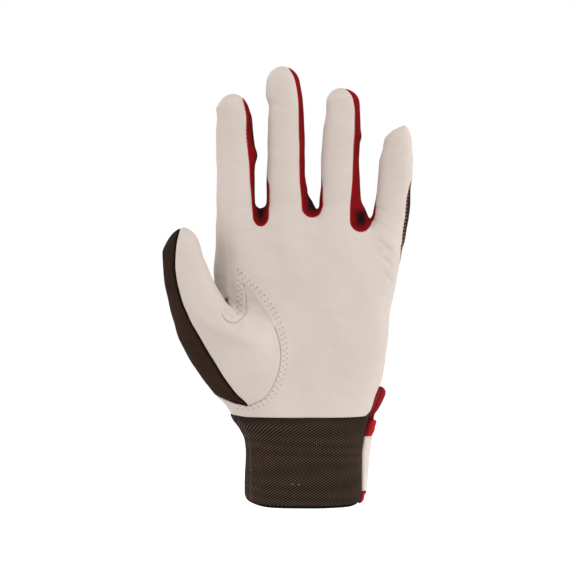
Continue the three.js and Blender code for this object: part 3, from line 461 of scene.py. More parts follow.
    def __init__(self) -> None:
        """Reads the sections and lays out the thumb piece's outline."""
        self.palm_at = Sections(self.PALM)
        self.outline = np.vstack([
            spline(self.MOUND, 40),
            np.array(self.THUMB_FOOT + self.FAR_SIDE, float),
            spline(self.TONGUE + self.MOUND[:1], 30)[:-1],
        ])

    def palm(self, x: Array, y: Array, z: Array) -> Array:
        """Distance outside the palm, which ends in the web between the fingers."""
        depth = self.palm_at("depth", z)
        above = np.maximum(z - (self.WEB("z", x) - self.WEB_HEIGHT), 0) / self.WEB_HEIGHT
        deep = np.hypot((y - self.palm_at("y", z)) / depth, above**self.WEB_POWER)
        across = np.abs((x - self.palm_at("x", z)) / self.palm_at("half", z))
        power = self.PALM_POWER
        return ((across**power + deep**power) ** (1 / power) - 1) * depth

    def distance(self, x: Array, y: Array, z: Array) -> Array:
        """Distance outside the glove."""
        reach = self.INDEX.distance(x, y, z)
        for finger in self.FINGERS[1:]:
            reach = np.minimum(reach, finger.distance(x, y, z))
        between = ramp(x, *self.ROOT_LEFT) * (1 - ramp(x, *self.ROOT_RIGHT))
        blend = mix(self.ROOT_SIDES, self.ROOT_MIDDLE, between)
        blend = blend * mix(1.0, self.GAP_SHARE, ramp(z, *self.GAP_HEIGHT))
        hand = soft_min(self.palm(x, y, z), reach, blend)
        join = mix(*self.THUMB_JOIN, ramp(z, *self.THUMB_JOIN_Z))
        return soft_min(hand, self.THUMB.distance(x, y, z), join)

    def across_fingers(self, values: list[Array], x: Array, z: Array) -> Array:
        """One value for each finger, blended across the gaps."""
        value = values[0]
        for before, after, own in zip(self.FINGERS, self.FINGERS[1:], values[1:]):
            low, high = before.at("right", z), after.at("left", z)
            value = mix(value, own, ramp(x, low - self.SPREAD, high + self.SPREAD))
        return value

    def seam_depth(self, x: Array, z: Array) -> Array:
        """Depth of the seam between leather and fabric, for each place seen from the front."""
        outer = self.OUTER_SEAM("y", z)
        wrap = self.palm_at("y", z) + self.palm_at("depth", z) * self.PALM_WRAP
        low = mix(wrap, outer, ramp(x, *self.SEAM_TURN_X))
        depths = []
        for finger in self.FINGERS:
            y, depth = finger.at("y", z), finger.at("depth", z)
            right = outer if finger is self.LITTLE else y + depth * self.RIGHT_DEPTH
            depths.append(mix(y + depth * finger.at("wrap", z), right, finger.right_share(x, z)))
        return mix(low, self.across_fingers(depths, x, z), ramp(z, *self.SEAM_TURN_Z))

    def strip_back(self, x: Array, z: Array) -> Array:
        """Depth of the red strips' back edge; none on the two outer sides of the hand."""
        depths = []
        for finger in self.FINGERS:
            open_share = ramp(finger.tip - z, *self.STRIP_TIP_REACH)
            edge = finger.at("edge", z) if "edge" in finger.table else 0.0
            left = mix(finger.at("wrap", z), self.STRIP_LEFT, open_share)
            right = mix(self.STRIP_TIP, edge, open_share)
            share = mix(left, right, finger.right_share(x, z))
            depths.append(finger.at("y", z) + finger.at("depth", z) * share)
        outer = (x < self.INDEX.at("x", z)) | (x > self.LITTLE.at("x", z))
        return np.where(outer, -FAR, self.across_fingers(depths, x, z))

    def gap(self, i: int, x: Array, z: Array) -> Array:
        """Distance outside the red U of a gap, seen from the front."""
        gap = self.GAPS[i]
        level = np.maximum(z, gap.wide)
        left = self.FINGERS[i].at("seam", level)
        right = gap.right("right", level)
        half = np.maximum((right - left) / 2, self.LEAST_HALF)
        tall = gap.wide - gap.foot
        below = np.maximum(gap.wide - z, 0) / tall
        size = np.where(below > 0, np.minimum(half, tall), half)
        return (np.hypot((x - (left + right) / 2) / half, below) - 1) * size

    def leather(self, x: Array, y: Array, z: Array) -> Array:
        """Positive where the palm leather lies, thumb piece included."""
        value = self.seam_depth(x, z) - y
        for i in range(len(self.GAPS)):
            value = soft_min(value, self.gap(i, x, z), self.LEATHER_CORNER)
        return value

    def thumb_piece(self, x: Array, y: Array, z: Array) -> Array:
        """Positive on the thumb piece: by its outline on the palm, by its own form elsewhere."""
        outline = signed_inside(self.outline, x, z)
        by_form = self.palm(x, y, z) - self.THUMB.distance(x, y, z)
        own = mix(self.THUMB_BACK_SEAM("x", z) - x, by_form, ramp(z, *self.FOLD_Z))
        below = 1 - ramp(z, *self.FOLD_PALM_Z)
        front = 1 - ramp(y, *self.FOLD_FRONT)
        on_palm = np.maximum(ramp(x, *self.FOLD_PALM_X), below) * front
        return np.minimum(outline, own + FAR * on_palm)

    def thumb_fabric(self, x: Array, y: Array, z: Array) -> Array:
        """Positive on the fabric half of the thumb piece."""
        outer = self.THUMB.at("y", z) + self.FABRIC_DEPTH * self.THUMB.at("depth", z)
        rear = mix(outer, self.FABRIC_ROOT, ramp(x, *self.FABRIC_ROOT_X))
        return soft_max(self.THUMB.at("fabric", z) - x, y - rear, self.FABRIC_CORNER)

    def cuff_edge(self, x: Array) -> Array:
        """Height of the cuff's upper edge, which rises at both of its corners."""
        left = self.LEFT_CORNER_RISE * ramp(-x, *self.LEFT_CORNER)
        return self.CUFF_TOP + left + self.RIGHT_CORNER_RISE * ramp(x, *self.RIGHT_CORNER)

    def above_cuff(self, x: Array, z: Array) -> Array:
        """Height above the leather's foot."""
        return z - (self.cuff_edge(x) + self.FOOT_GAP)

    def pocket(self, x: Array, z: Array) -> Array:
        """Positive deep between two fingers, where painted shadow darkens the fabric."""
        value = np.full(np.broadcast(x, z).shape, -FAR)
        for i, gap in enumerate(self.GAPS):
            own = soft_min(-self.gap(i, x, z) - gap.margin, gap.pocket_shadow_top - z, self.POCKET_EDGE)
            value = np.maximum(value, own)
        return value

    def palm_panel(self, x: Array, y: Array, z: Array) -> Array:
        """Positive on the leather of the palm and the fingers."""
        return np.minimum(self.leather(x, y, z), -self.thumb_piece(x, y, z))

    def back_panel(self, x: Array, y: Array, z: Array) -> Array:
        """Positive on the fabric back of the hand."""
        own = np.minimum(-self.leather(x, y, z), y - self.strip_back(x, z))
        return np.minimum(own, -self.thumb_piece(x, y, z))

    def strip_panel(self, i: int, x: Array, y: Array, z: Array) -> Array:
        """Positive on the red strip of a gap."""
        return np.min([
            -self.leather(x, y, z),
            self.strip_back(x, z) - y,
            x - self.FINGERS[i].at("x", z),
            self.FINGERS[i + 1].at("x", z) - x,
            -self.thumb_piece(x, y, z),
        ], axis=0)

    def thumb_front(self, x: Array, y: Array, z: Array) -> Array:
        """Positive on the thumb's leather."""
        return np.minimum(self.thumb_piece(x, y, z), -self.thumb_fabric(x, y, z))

    def thumb_rear(self, x: Array, y: Array, z: Array) -> Array:
        """Positive on the thumb's fabric."""
        return np.minimum(self.thumb_piece(x, y, z), self.thumb_fabric(x, y, z))

    def front_depth(self, x: Array, z: Array) -> Array:
        """Where the surface lies when seen from the palm side.

        Args:
            x: Places across.
            z: Heights.

        Returns:
            The depth of the first surface at each place.
        """
        levels = np.linspace(*self.FRONT_LEVELS)
        values = self.distance(x[:, None], levels[None, :], z[:, None])
        first = np.argmax(values < 0, axis=1)
        low, high = levels[np.maximum(first - 1, 0)], levels[first]
        for _ in range(self.FRONT_HALVINGS):
            middle = (low + high) / 2
            inside = self.distance(x, middle, z) < 0
            low, high = np.where(inside, low, middle), np.where(inside, middle, high)
        return (low + high) / 2

    def on_front(self, places: Array) -> Array:
        """Points of the palm side at places seen from the front."""
        x, z = places.T
        return np.stack([x, self.front_depth(x, z), z], axis=1)


SLOPE_STEP = 0.05
LEAST_SLOPE = 0.05
LONGEST_STEP = 3.0


def slope_of(value: Field, points: Array) -> Array:
    """Slope of a field at points."""
    slope = np.empty_like(points)
    for axis in Axis:
        shift = np.zeros(3)
        shift[axis.value] = SLOPE_STEP
        ahead, behind = (points + shift).T, (points - shift).T
        slope[:, axis.value] = (value(*ahead) - value(*behind)) / (2 * SLOPE_STEP)
    return slope


def onto(value: Field, points: Array, rounds: int) -> Array:
    """Moves points to where a field is zero.

    Args:
        value: The field.
        points: Places near its zero.
        rounds: How many steps to take.

    Returns:
        The moved points.
    """
    for _ in range(rounds):
        slope = slope_of(value, points)
        size = np.maximum((slope**2).sum(axis=1), LEAST_SLOPE)
        step = np.clip(value(*points.T) / size, -LONGEST_STEP, LONGEST_STEP)
        points = points - slope * step[:, None]
    return points


class SurfaceNet:
    """The glove's surface as small triangles, fine along its seams and stitches."""

    CORNER_LOW = (-84.0, -42.0, 44.0)
    CORNER_HIGH = (68.0, 29.0, 254.0)
    CELL = 1.05
    QUICK_CELL = 1.5
    ROUNDS = 4
    PULL = 0.4
    TOUCHED = -1.0
    # Shares of a side or a cell: what is snapped to an edge, and how far points may move.
    SNAP_NEAR, SNAP_REACH, CUT_REACH = 0.28, 0.42, 0.5
    SNAP_LEFT = 0.03
    # Parts of a split triangle: 0 to 2 are its corners, 3 to 5 the middles of its sides.
    THREE_CUT = ((0, 3, 5), (1, 4, 3), (2, 5, 4), (3, 4, 5))
    TWO_CUT = ((3, 1, 4), (0, 3, 4), (0, 4, 2))
    ONE_CUT = ((0, 3, 2), (3, 1, 2))

    def __init__(self, form: GloveForm) -> None:
        """Lays the net over the glove."""
        self.form = form
        self.cell = self.CELL
        points, quads = self.cells()
        self.points = self.relaxed(points, quads)
        self.triangles = self.halved(quads)
        self.shortest = self.shortest_sides()

    def shortest_sides(self) -> Array:
        """The length of the shortest side at each point."""
        sides = sides_of(self.triangles)
        length = apart(*self.points[sides.T])
        shortest = np.full(len(self.points), np.inf)
        np.minimum.at(shortest, sides.ravel(), np.repeat(length, 2))
        return shortest

    def cells(self) -> Surface:
        """One point in each cell that the surface crosses, joined in fours.

        Returns:
            The points, and the quads that join them.
        """
        lines = [np.arange(*ends, self.cell) for ends in zip(self.CORNER_LOW, self.CORNER_HIGH)]
        size = np.array([len(line) for line in lines])
        values = self.form.distance(*np.ix_(*lines))
        inside = values < 0
        stride = np.array([size[1] * size[2], size[2], 1])
        total = int(size.prod())
        sums = np.zeros((3, total))
        hits = np.zeros(total)
        edges = []
        for axis in range(3):
            near, beyond = [slice(None)] * 3, [slice(None)] * 3
            near[axis], beyond[axis] = slice(0, -1), slice(1, None)
            index = np.argwhere(inside[tuple(near)] != inside[tuple(beyond)])
            within = (index > 0) & (index < size - 1) | (np.arange(3) == axis)
            index = index[np.all(within, axis=1)]
            flat = index @ stride
            start, end = values.ravel()[flat], values.ravel()[flat + stride[axis]]
            place = np.stack([lines[a][index[:, a]] for a in range(3)])
            place[axis] += self.cell * start / (start - end)
            u, v = stride[(axis + 1) % 3], stride[(axis + 2) % 3]
            around = np.stack([flat, flat - u, flat - u - v, flat - v], axis=1)
            for corner in around.T:
                for a in range(3):
                    sums[a] += np.bincount(corner, weights=place[a], minlength=total)
                hits += np.bincount(corner, minlength=total)
            edges.append(np.where((start < 0)[:, None], around, around[:, ::-1]))
        used = np.flatnonzero(hits)
        number = np.full(total, -1)
        number[used] = np.arange(len(used))
        return (sums[:, used] / hits[used]).T, number[np.vstack(edges)]

    def relaxed(self, points: Array, quads: Array) -> Array:
        """Evens the net out along the surface and seats it there."""
        pairs = sides_of(quads)
        pairs = np.vstack([pairs, pairs[:, ::-1]])
        count = np.maximum(np.bincount(pairs[:, 0], minlength=len(points)), 1)
        for _ in range(self.ROUNDS):
            near = np.stack([
                np.bincount(pairs[:, 0], weights=points[pairs[:, 1], a], minlength=len(points))
                for a in range(3)
            ], axis=1) / count[:, None]
            points = onto(self.form.distance, points + (near - points) * self.PULL, 1)
        return onto(self.form.distance, points, 2)

    def halved(self, quads: Array) -> Array:
        """Cuts each quad in two along its shorter diagonal."""
        a, b, c, d = (self.points[quads[:, i]] for i in range(4))
        first = apart(a, c) < apart(b, d)
        one, other = quads[first], quads[~first]
        return np.vstack([
            one[:, [0, 1, 2]], one[:, [0, 2, 3]], other[:, [0, 1, 3]], other[:, [1, 2, 3]],
        ])

    def refine(self, longest_at: Callable[[Array], Array], rounds: int) -> None:
        """Splits the edges that are longer than the limit for their place.

        Args:
            longest_at: Gives the limit at each of many places.
            rounds: How many times to look.
        """
        for _ in range(rounds):
            sides = self.triangles[:, [[0, 1], [1, 2], [2, 0]]]
            low, high = sides.min(axis=2), sides.max(axis=2)
            keys = (low.astype(np.int64) * len(self.points) + high).ravel()
            _, first, inverse = np.unique(keys, return_index=True, return_inverse=True)
            pairs = sides.reshape(-1, 2)[first]
            ends = self.points[pairs]
            middle = ends.mean(axis=1)
            split = apart(ends[:, 0], ends[:, 1]) > longest_at(middle)
            numbers = np.where(split, len(self.points) + np.cumsum(split) - 1, -1)
            added = onto(self.form.distance, middle[split], 1)
            self.points = np.vstack([self.points, added])
            halves = numbers[inverse.reshape(-1)].reshape(-1, 3)
            self.triangles = self.split_faces(self.triangles, halves)
        self.shortest = self.shortest_sides()

    def split_faces(self, faces: Array, halves: Array) -> Array:
        """Parts each triangle at the middles of its split sides.

        Args:
            faces: The triangles.
            halves: The middles of their sides, -1 where a side is whole.

        Returns:
            The parts.
        """
        count = (halves >= 0).sum(axis=1)
        full = np.hstack([faces, halves])[count == 3]
        parts = [faces[count == 0], *(full[:, part] for part in self.THREE_CUT)]
        for turn in range(3):
            known = np.hstack([np.roll(faces, -turn, axis=1), np.roll(halves, -turn, axis=1)])
            one = known[(count == 1) & (known[:, 3] >= 0)]
            two = known[(count == 2) & (known[:, 5] < 0)]
            parts += [one[:, part] for part in self.ONE_CUT]
            parts += [two[:, part] for part in self.TWO_CUT]
        return np.vstack(parts)

    def clipped(self, inside: Field) -> Surface:
        """The part of the surface that lies inside a panel, with points near its edge on it.

        Args:
            inside: Positive inside the panel.

        Returns:
            The part's points and triangles.
        """
        value = inside(*self.points.T)
        touched = np.unique(self.triangles[np.any(value[self.triangles] > self.TOUCHED, axis=1)])
        points = self.points.copy()
        near = touched[np.abs(value[touched]) < self.shortest[touched] * self.SNAP_NEAR]
        moved = points[near]
        for target in (inside, self.form.distance, inside):
            moved = onto(target, moved, 1)
        good = apart(moved, points[near]) < self.shortest[near] * self.SNAP_REACH
        good &= np.abs(inside(*moved.T)) < self.SNAP_LEFT
        points[near[good]] = moved[good]
        value[near[good]] = 0
        signs = value[self.triangles]
        whole = np.all(signs >= 0, axis=1) & np.any(signs > 0, axis=1)
        mixed = self.triangles[np.any(signs > 0, axis=1) & np.any(signs < 0, axis=1)]
        cuts: dict[tuple[int, int], int] = {}
        ends: list[tuple[int, int]] = []
        faces: list[list[int]] = []
        for triangle in mixed.tolist():
            loop = []
            for a, b in zip(triangle, triangle[1:] + triangle[:1]):
                if value[a] >= 0:
                    loop.append(a)
                if value[a] * value[b] < 0:
                    key = (min(a, b), max(a, b))
                    if key not in cuts:
                        cuts[key] = len(points) + len(ends)
                        ends.append(key)
                    loop.append(cuts[key])
            faces += [[loop[0], loop[i], loop[i + 1]] for i in range(1, len(loop) - 1)]
        pair = np.array(ends)
        share = value[pair[:, 0]] / (value[pair[:, 0]] - value[pair[:, 1]])
        start = points[pair[:, 0]] + (points[pair[:, 1]] - points[pair[:, 0]]) * share[:, None]
        moved = start
        for target in (self.form.distance, inside, self.form.distance, inside):
            moved = onto(target, moved, 1)
        far = apart(moved, start) > self.cell * self.CUT_REACH
        moved[far] = start[far]
        points = np.vstack([points, moved])
        triangles = np.vstack([self.triangles[whole], np.array(faces)])
        return compact(points, largest_piece(triangles, len(points)))[:2]


def largest_piece(triangles: Array, count: int) -> Array:
    """The triangles of the largest piece of a surface.

    Args:
        triangles: All its triangles.
        count: How many points it has.

    Returns:
        The triangles that hang together with most others.
    """
    label = np.arange(count)
    while True:
        low = label[triangles].min(axis=1)
        lower = label.copy()
        np.minimum.at(lower, triangles.ravel(), np.repeat(low, 3))
        lower = lower[lower]
        if np.array_equal(lower, label):
            break
        label = lower
    piece = label[triangles[:, 0]]
    return triangles[piece == np.bincount(piece).argmax()]


def compact(points: Array, faces: Array) -> tuple[Array, Array, Array]:
    """Drops the points that no face uses, and gives the numbers of those that stay."""
    used, places = np.unique(faces, return_inverse=True)
    return points[used], places.reshape(faces.shape), used


def sides_of(faces: Array) -> Array:
    """The directed sides of triangles or quads."""
    corners = faces.shape[1]
    return np.vstack([faces[:, [i, (i + 1) % corners]] for i in range(corners)])


def border_sides(faces: Array) -> Array:
    """The directed sides that only one face has."""
    sides = sides_of(faces)
    size = faces.max() + 1
    forward = sides[:, 0].astype(np.int64) * size + sides[:, 1]
    backward = sides[:, 1].astype(np.int64) * size + sides[:, 0]
    return sides[~np.isin(forward, backward)]


def border_loops(triangles: Array) -> list[list[int]]:
    """The borders of a surface as loops of points, longest first."""
    following = dict(border_sides(triangles).tolist())
    loops = []
    while following:
        start, at = following.popitem()
        loop = [start]
        while at in following:
            loop.append(at)
            at = following.pop(at)
        loops.append(loop)
    return sorted(loops, key=len, reverse=True)


def closed_shell(outer: Array, inner: Array, faces: Array) -> Surface:
    """A closed wall between an outer and an inner skin that share their triangles or quads."""
    count = len(outer)
    a, b = border_sides(faces).T
    rim = np.stack([b, a, a + count, b + count], axis=1)
    if faces.shape[1] == 3:
        rim = np.vstack([rim[:, [0, 1, 2]], rim[:, [0, 2, 3]]])
    return np.vstack([outer, inner]), np.vstack([faces, faces[:, ::-1] + count, rim])


def tree_of(points: Array) -> KDTree:
    """A tree that finds the nearest of many points."""
    tree = KDTree(len(points))
    for i, point in enumerate(points):
        tree.insert(point, i)
    tree.balance()
    return tree


def to_nearest(tree: KDTree, points: Array) -> Array:
    """Distance from each point to the nearest in a tree."""
    return np.array([tree.find(point)[2] for point in points])


def make_object(
    name: str,
    points: Array,
    faces: Array,
    material: Material,
    marks: dict[str, Array] | None = None,
) -> Object:
    """Makes a smooth mesh object from points in millimetres.

    Args:
        name: The piece's name.
        points: Its points.
        faces: Its triangles or quads.
        material: Its finish.
        marks: Values of each point that the finish reads, by name.

    Returns:
        The object.
    """
    mesh = bpy.data.meshes.new(name)
    corners = faces.shape[1]
    mesh.vertices.add(len(points))
    mesh.vertices.foreach_set("co", (points * MM).astype(np.float32).ravel())
    mesh.loops.add(faces.size)
    mesh.loops.foreach_set("vertex_index", faces.astype(np.int32).ravel())
    mesh.polygons.add(len(faces))
    mesh.polygons.foreach_set("loop_start", np.arange(0, faces.size, corners, dtype=np.int32))
    mesh.update(calc_edges=True)
    mesh.shade_smooth()
    for mark, values in (marks or {}).items():
        layer = mesh.attributes.new(mark, "FLOAT", "POINT")
        layer.data.foreach_set("value", values.astype(np.float32))
    mesh.materials.append(material)
    made = bpy.data.objects.new(name, mesh)
    bpy.context.scene.collection.objects.link(made)
    return made


def settle(piece: Object, slot: Slot, *nodes: str) -> Object:
    """Makes a piece ride on the glove, and hides the frame's nodes that it stands for.

    Args:
        piece: The piece.
        slot: The record's slot that its finish is kept under; not used.
        nodes: The frame's nodes that it replaces.

    Returns:
        The piece.
    """
    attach(piece, "root")
    if nodes:
        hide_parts(*nodes)
    LOG.info("%s: %d faces", piece.name, len(piece.data.polygons))
    return piece


def srgb(red: int, green: int, blue: int) -> tuple[float, float, float, float]:
    """A screen colour as the shader's linear one."""
    linear = []
    for part in (red, green, blue):
        share = part / 255
        linear.append(share / 12.92 if share <= 0.04045 else ((share + 0.055) / 1.055) ** 2.4)
    return (*linear, 1.0)


class Tree:
    """Adds nodes to a material or a group, and links them."""

    def __init__(self, tree: NodeTree) -> None:
        """Works on one node tree."""
        self.tree = tree

    def add(self, kind: str, **settings: object) -> Node:
        """Adds a node and sets its properties."""
        node = self.tree.nodes.new(kind)
        for name, value in settings.items():
            setattr(node, name, value)
        return node

    def feed(self, socket: NodeSocket, value: object) -> None:
        """Links a socket to another, or sets its value; three numbers are a screen colour."""
        if isinstance(value, NodeSocket):
            self.tree.links.new(value, socket)
        else:
            socket.default_value = srgb(*value) if isinstance(value, tuple) else value

    def fill(self, node: Node, **inputs: object) -> Node:
        """Feeds a node's sockets by name, with an underscore for each space."""
        for label, value in inputs.items():
            self.feed(node.inputs[label.replace("_", " ")], value)
        return node

    def math(self, operation: str, *values: object) -> NodeSocket:
        """A sum of one to three values."""
        node = self.add("ShaderNodeMath", operation=operation)
        for socket, value in zip(node.inputs, values):
            self.feed(socket, value)
        return node.outputs[0]

    def colour(self, share: object, first: object, second: object) -> NodeSocket:
        """Goes from one colour to another by a share."""
        node = self.add("ShaderNodeMix", data_type="RGBA")
        for i, value in ((0, share), (6, first), (7, second)):
            self.feed(node.inputs[i], value)
        return node.outputs[2]

    def blend(self, share: object, first: object, second: object) -> NodeSocket:
        """Goes from one number to another by a share."""
        node = self.add("ShaderNodeMix", data_type="FLOAT")
        for i, value in ((0, share), (2, first), (3, second)):
            self.feed(node.inputs[i], value)
        return node.outputs[0]

    def window(self, value: object, low: float, high: float) -> NodeSocket:
        """Rises smoothly from 0 at low to 1 at high."""
        node = self.add("ShaderNodeMapRange", interpolation_type="SMOOTHSTEP")
        for socket, part in zip(node.inputs, (value, low, high, 0.0, 1.0)):
            self.feed(socket, part)
        return node.outputs[0]

    def place(self) -> NodeSocket:
        """The point on the object, in metres."""
        return self.add("ShaderNodeTexCoord").outputs["Object"]

    def noise(self, scale: object, detail: float, rough: float) -> NodeSocket:
        """Soft noise over the object."""
        node = self.add("ShaderNodeTexNoise")
        self.fill(node, Vector=self.place(), Scale=scale, Detail=detail, Roughness=rough)
        return node.outputs[0]

    def cells(self, scale: float) -> NodeSocket:
        """Distance to the middles of small cells."""
        node = self.add("ShaderNodeTexVoronoi")
        return self.fill(node, Vector=self.place(), Scale=scale).outputs["Distance"]

    def mark(self, name: str) -> NodeSocket:
        """A value that the mesh keeps for each point."""
        return self.add("ShaderNodeAttribute", attribute_name=name).outputs["Fac"]

    def group(self, made: NodeTree, **values: object) -> Node:
        """Places a shared group with its own values."""
        return self.fill(self.add("ShaderNodeGroup", node_tree=made), **values)

    def bump(self, height: object, strength: float, distance: float) -> NodeSocket:
        """A normal from a height; the distance is in metres."""
        node = self.add("ShaderNodeBump")
        return self.fill(node, Strength=strength, Distance=distance, Height=height).outputs[0]


class Effects:
    """The node groups that several finishes share, each built once."""

    def __init__(self) -> None:
        """Builds the groups."""
        self.patches = self.make_patches()
        self.weave = self.make_weave()
        self.groove = self.make_groove_shade()

    @staticmethod
    def new_group(name: str, inputs: dict[str, float], outputs: Iterable[str]) -> tuple:
        """A group with number sockets and no nodes between them.

        Args:
            name: The group's name.
            inputs: Its inputs with their first values.
            outputs: Its outputs.

        Returns:
            Its tree, the sockets of its inputs, and the node that takes its outputs.
        """
        made = bpy.data.node_groups.new(name, "ShaderNodeTree")
        for label in (*inputs, *outputs):
            way = "INPUT" if label in inputs else "OUTPUT"
            socket = made.interface.new_socket(label, in_out=way, socket_type="NodeSocketFloat")
            socket.default_value = inputs.get(label, 0.0)
        tree = Tree(made)
        return tree, tree.add("NodeGroupInput").outputs, tree.add("NodeGroupOutput")

    def make_patches(self) -> NodeTree:
        """Slow uneven patches with a finer mottle in them, from 0 to 1."""
        tree, given, out = self.new_group("Patches", {"Scale": 30.0, "Fine Share": 0.35}, ["Mask"])
        slow = tree.noise(given["Scale"], detail=2.0, rough=0.5)
        fine = tree.noise(tree.math("MULTIPLY", given["Scale"], 7.3), detail=4.0, rough=0.6)
        both = tree.blend(given["Fine Share"], slow, fine)
        tree.fill(out, Mask=tree.window(both, 0.33, 0.67))
        return tree.tree

    def make_weave(self) -> NodeTree:
        """Fine crossing threads, laid on by the way that the surface faces."""
        values = {"Threads": 1400.0, "Lean": 0.0}
        tree, given, out = self.new_group("Weave", values, ["Height", "Gap"])
        place, facing = (tree.add("ShaderNodeSeparateXYZ") for _ in range(2))
        tree.fill(place, Vector=tree.place())
        tree.fill(facing, Vector=tree.add("ShaderNodeNewGeometry").outputs["True Normal"])
        x, y, z = place.outputs
        turn = tree.math("SUBTRACT", *(tree.math("ABSOLUTE", part) for part in facing.outputs[:2]))
        waves = []
        for along in (x, y):
            across = tree.math("ADD", along, tree.math("MULTIPLY", z, given["Lean"]))
            warp, weft = (
                tree.math("SINE", self.turns(tree, way, given["Threads"])) for way in (across, z)
            )
            waves.append(tree.math("MULTIPLY", warp, weft))
        height = tree.blend(tree.window(turn, -0.1, 0.1), *waves)
        halved = tree.math("MULTIPLY_ADD", height, 0.5, 0.5)
        tree.fill(out, Height=halved, Gap=tree.window(height, 0.1, -0.7))
        return tree.tree

    @staticmethod
    def turns(tree: Tree, place: object, count: object) -> NodeSocket:
        """An angle that goes round count times in a metre."""
        return tree.math("MULTIPLY", tree.math("MULTIPLY", place, count), math.tau)

    def make_groove_shade(self) -> NodeTree:
        """Painted shade that gathers in a seam, from the distance kept in each point."""
        tree, given, out = self.new_group("Groove", {"Reach": 1.2, "Depth": 0.5}, ["Mask"])
        share = tree.math("DIVIDE", tree.mark("seam"), given["Reach"])
        tree.fill(out, Mask=tree.math("MULTIPLY", tree.window(share, 1.0, 0.0), given["Depth"]))
        return tree.tree


EFFECTS = Effects()


class Paint(Tree):
    """A new material: its nodes, with the shared effects at hand, and its surface shader."""

    def __init__(self, name: str) -> None:
        """Starts an empty material."""
        self.made = bpy.data.materials.new(name)
        self.made.use_nodes = True
        super().__init__(self.made.node_tree)
        self.shader = next(n for n in self.tree.nodes if n.type == "BSDF_PRINCIPLED")

    def patches(self, scale: float, fine_share: float) -> NodeSocket:
        """Slow uneven patches, as a mask."""
        return self.group(EFFECTS.patches, Scale=scale, Fine_Share=fine_share).outputs["Mask"]

    def groove(self, reach: float, depth: float) -> NodeSocket:
        """Painted shade in a seam, as a mask."""
        return self.group(EFFECTS.groove, Reach=reach, Depth=depth).outputs["Mask"]

    def weave(self, threads: float, lean: float) -> tuple[NodeSocket, ...]:
        """The height of crossing threads, and the gaps between them as a mask."""
        return tuple(self.group(EFFECTS.weave, Threads=threads, Lean=lean).outputs)

    def finished(self, **inputs: object) -> Material:
        """Feeds the surface shader, and gives the material."""
        self.fill(self.shader, **inputs)
        return self.made


@dataclass(frozen=True)
class LeatherFinish:
    """Smooth off-white grain leather: pores, slow uneven tint, painted shade in seams and folds."""

    name: str = "grain leather"
    pale: Shade = (207, 194, 185)
    warm: Shade = (201, 188, 178)
    # Darker tone of the pores, and the painted shade along the seams.
    shade: Shade = (146, 132, 121)
    # Painted shade deep in the folds.
    deep: Shade = (104, 88, 77)
    grain: float = 1500.0
    pore_share: float = 0.05
    fold_shade_depth: tuple[float, float] = (0.5, 1.7)

    def material(self) -> Material:
        """Builds the material."""
        paint = Paint(self.name)
        patches = paint.patches(scale=28.0, fine_share=0.3)
        base = paint.colour(patches, self.pale, self.warm)
        pores = paint.window(paint.cells(self.grain), 0.0, 0.35)
        pore = paint.math("MULTIPLY_ADD", pores, -self.pore_share, self.pore_share)
        pored = paint.colour(pore, base, self.shade)
        # Painted shade along the seams.
        edged = paint.colour(paint.groove(reach=0.5, depth=0.16), pored, self.shade)
        # Painted shade in the folds, from how deep each point is pressed.
        fold = paint.window(paint.mark("fold"), *self.fold_shade_depth)
        fine = paint.noise(scale=900.0, detail=3.0, rough=0.6)
        height = paint.math("ADD", paint.math("MULTIPLY", pores, 0.6), fine)
        return paint.finished(
            Base_Color=paint.colour(fold, edged, self.deep),
            Roughness=paint.blend(patches, 0.52, 0.6),
            Specular_IOR_Level=0.35,
            Normal=paint.bump(height, strength=0.25, distance=0.00012),
        )


@dataclass(frozen=True)
class StretchFinish:
    """A stretch fabric of fine crossing threads, with painted light and shade along its seams."""

    name: str
    face: Shade
    light: Shade
    dark: Shade
    # Painted light along the seams: a shadow for the brown, a highlight for the red.
    seam: Shade
    # Painted shadow deep in the pockets between the fingers.
    pocket: Shade = (22, 13, 13)
    threads: float = 1300.0
    lean: float = 0.35
    gap_share: float = 0.55
    groove_reach: float = 2.2
    groove_depth: float = 0.9

    def material(self) -> Material:
        """Builds the material."""
        paint = Paint(self.name)
        height, gap = paint.weave(self.threads, self.lean)
        base = paint.colour(paint.patches(scale=60.0, fine_share=0.5), self.face, self.light)
        woven = paint.colour(paint.math("MULTIPLY", gap, self.gap_share), base, self.dark)
        # Painted light and shade along the seams, in the seam tone.
        edged = paint.colour(paint.groove(self.groove_reach, self.groove_depth), woven, self.seam)
        # Painted shadow deep between the fingers, from the pocket mark.
        return paint.finished(
            Base_Color=paint.colour(paint.mark("pocket"), edged, self.pocket),
            Roughness=paint.blend(gap, 0.8, 0.95),
            Specular_IOR_Level=0.04,
            Normal=paint.bump(height, strength=0.6, distance=0.0002),
        )


@dataclass(frozen=True)
class KnitFinish:
    """Brown ribbed knit, with painted shade in its grooves and painted highlight on its ribs."""

    name: str = "ribbed knit"
    # Painted highlight on the ribs.
    rib: Shade = (131, 105, 87)
    face: Shade = (38, 27, 22)
    # Painted shade in the grooves, in the weave's gaps and under the hem.
    groove: Shade = (9, 6, 5)
    threads: float = 1500.0
    lean: float = 0.5
    gap_share: float = 0.35
    worn_share: float = 0.3

    def material(self) -> Material:
        """Builds the material."""
        paint = Paint(self.name)
        # Painted shade low in the relief and painted highlight high on it.
        relief = paint.mark("relief")
        low = paint.colour(paint.window(relief, -0.1, 0.4), self.groove, self.face)
        high = paint.colour(paint.window(relief, 0.45, 1.0), low, self.rib)
        patches = paint.patches(scale=45.0, fine_share=0.6)
        worn = paint.colour(paint.math("MULTIPLY", patches, self.worn_share), high, self.face)
        height, gap = paint.weave(self.threads, self.lean)
        gap = paint.math("MULTIPLY", gap, self.gap_share)
        return paint.finished(
            Base_Color=paint.colour(gap, worn, self.groove),
            Roughness=paint.blend(relief, 0.95, 0.8),
            Specular_IOR_Level=0.12,
            Normal=paint.bump(height, strength=0.5, distance=0.00015),
        )


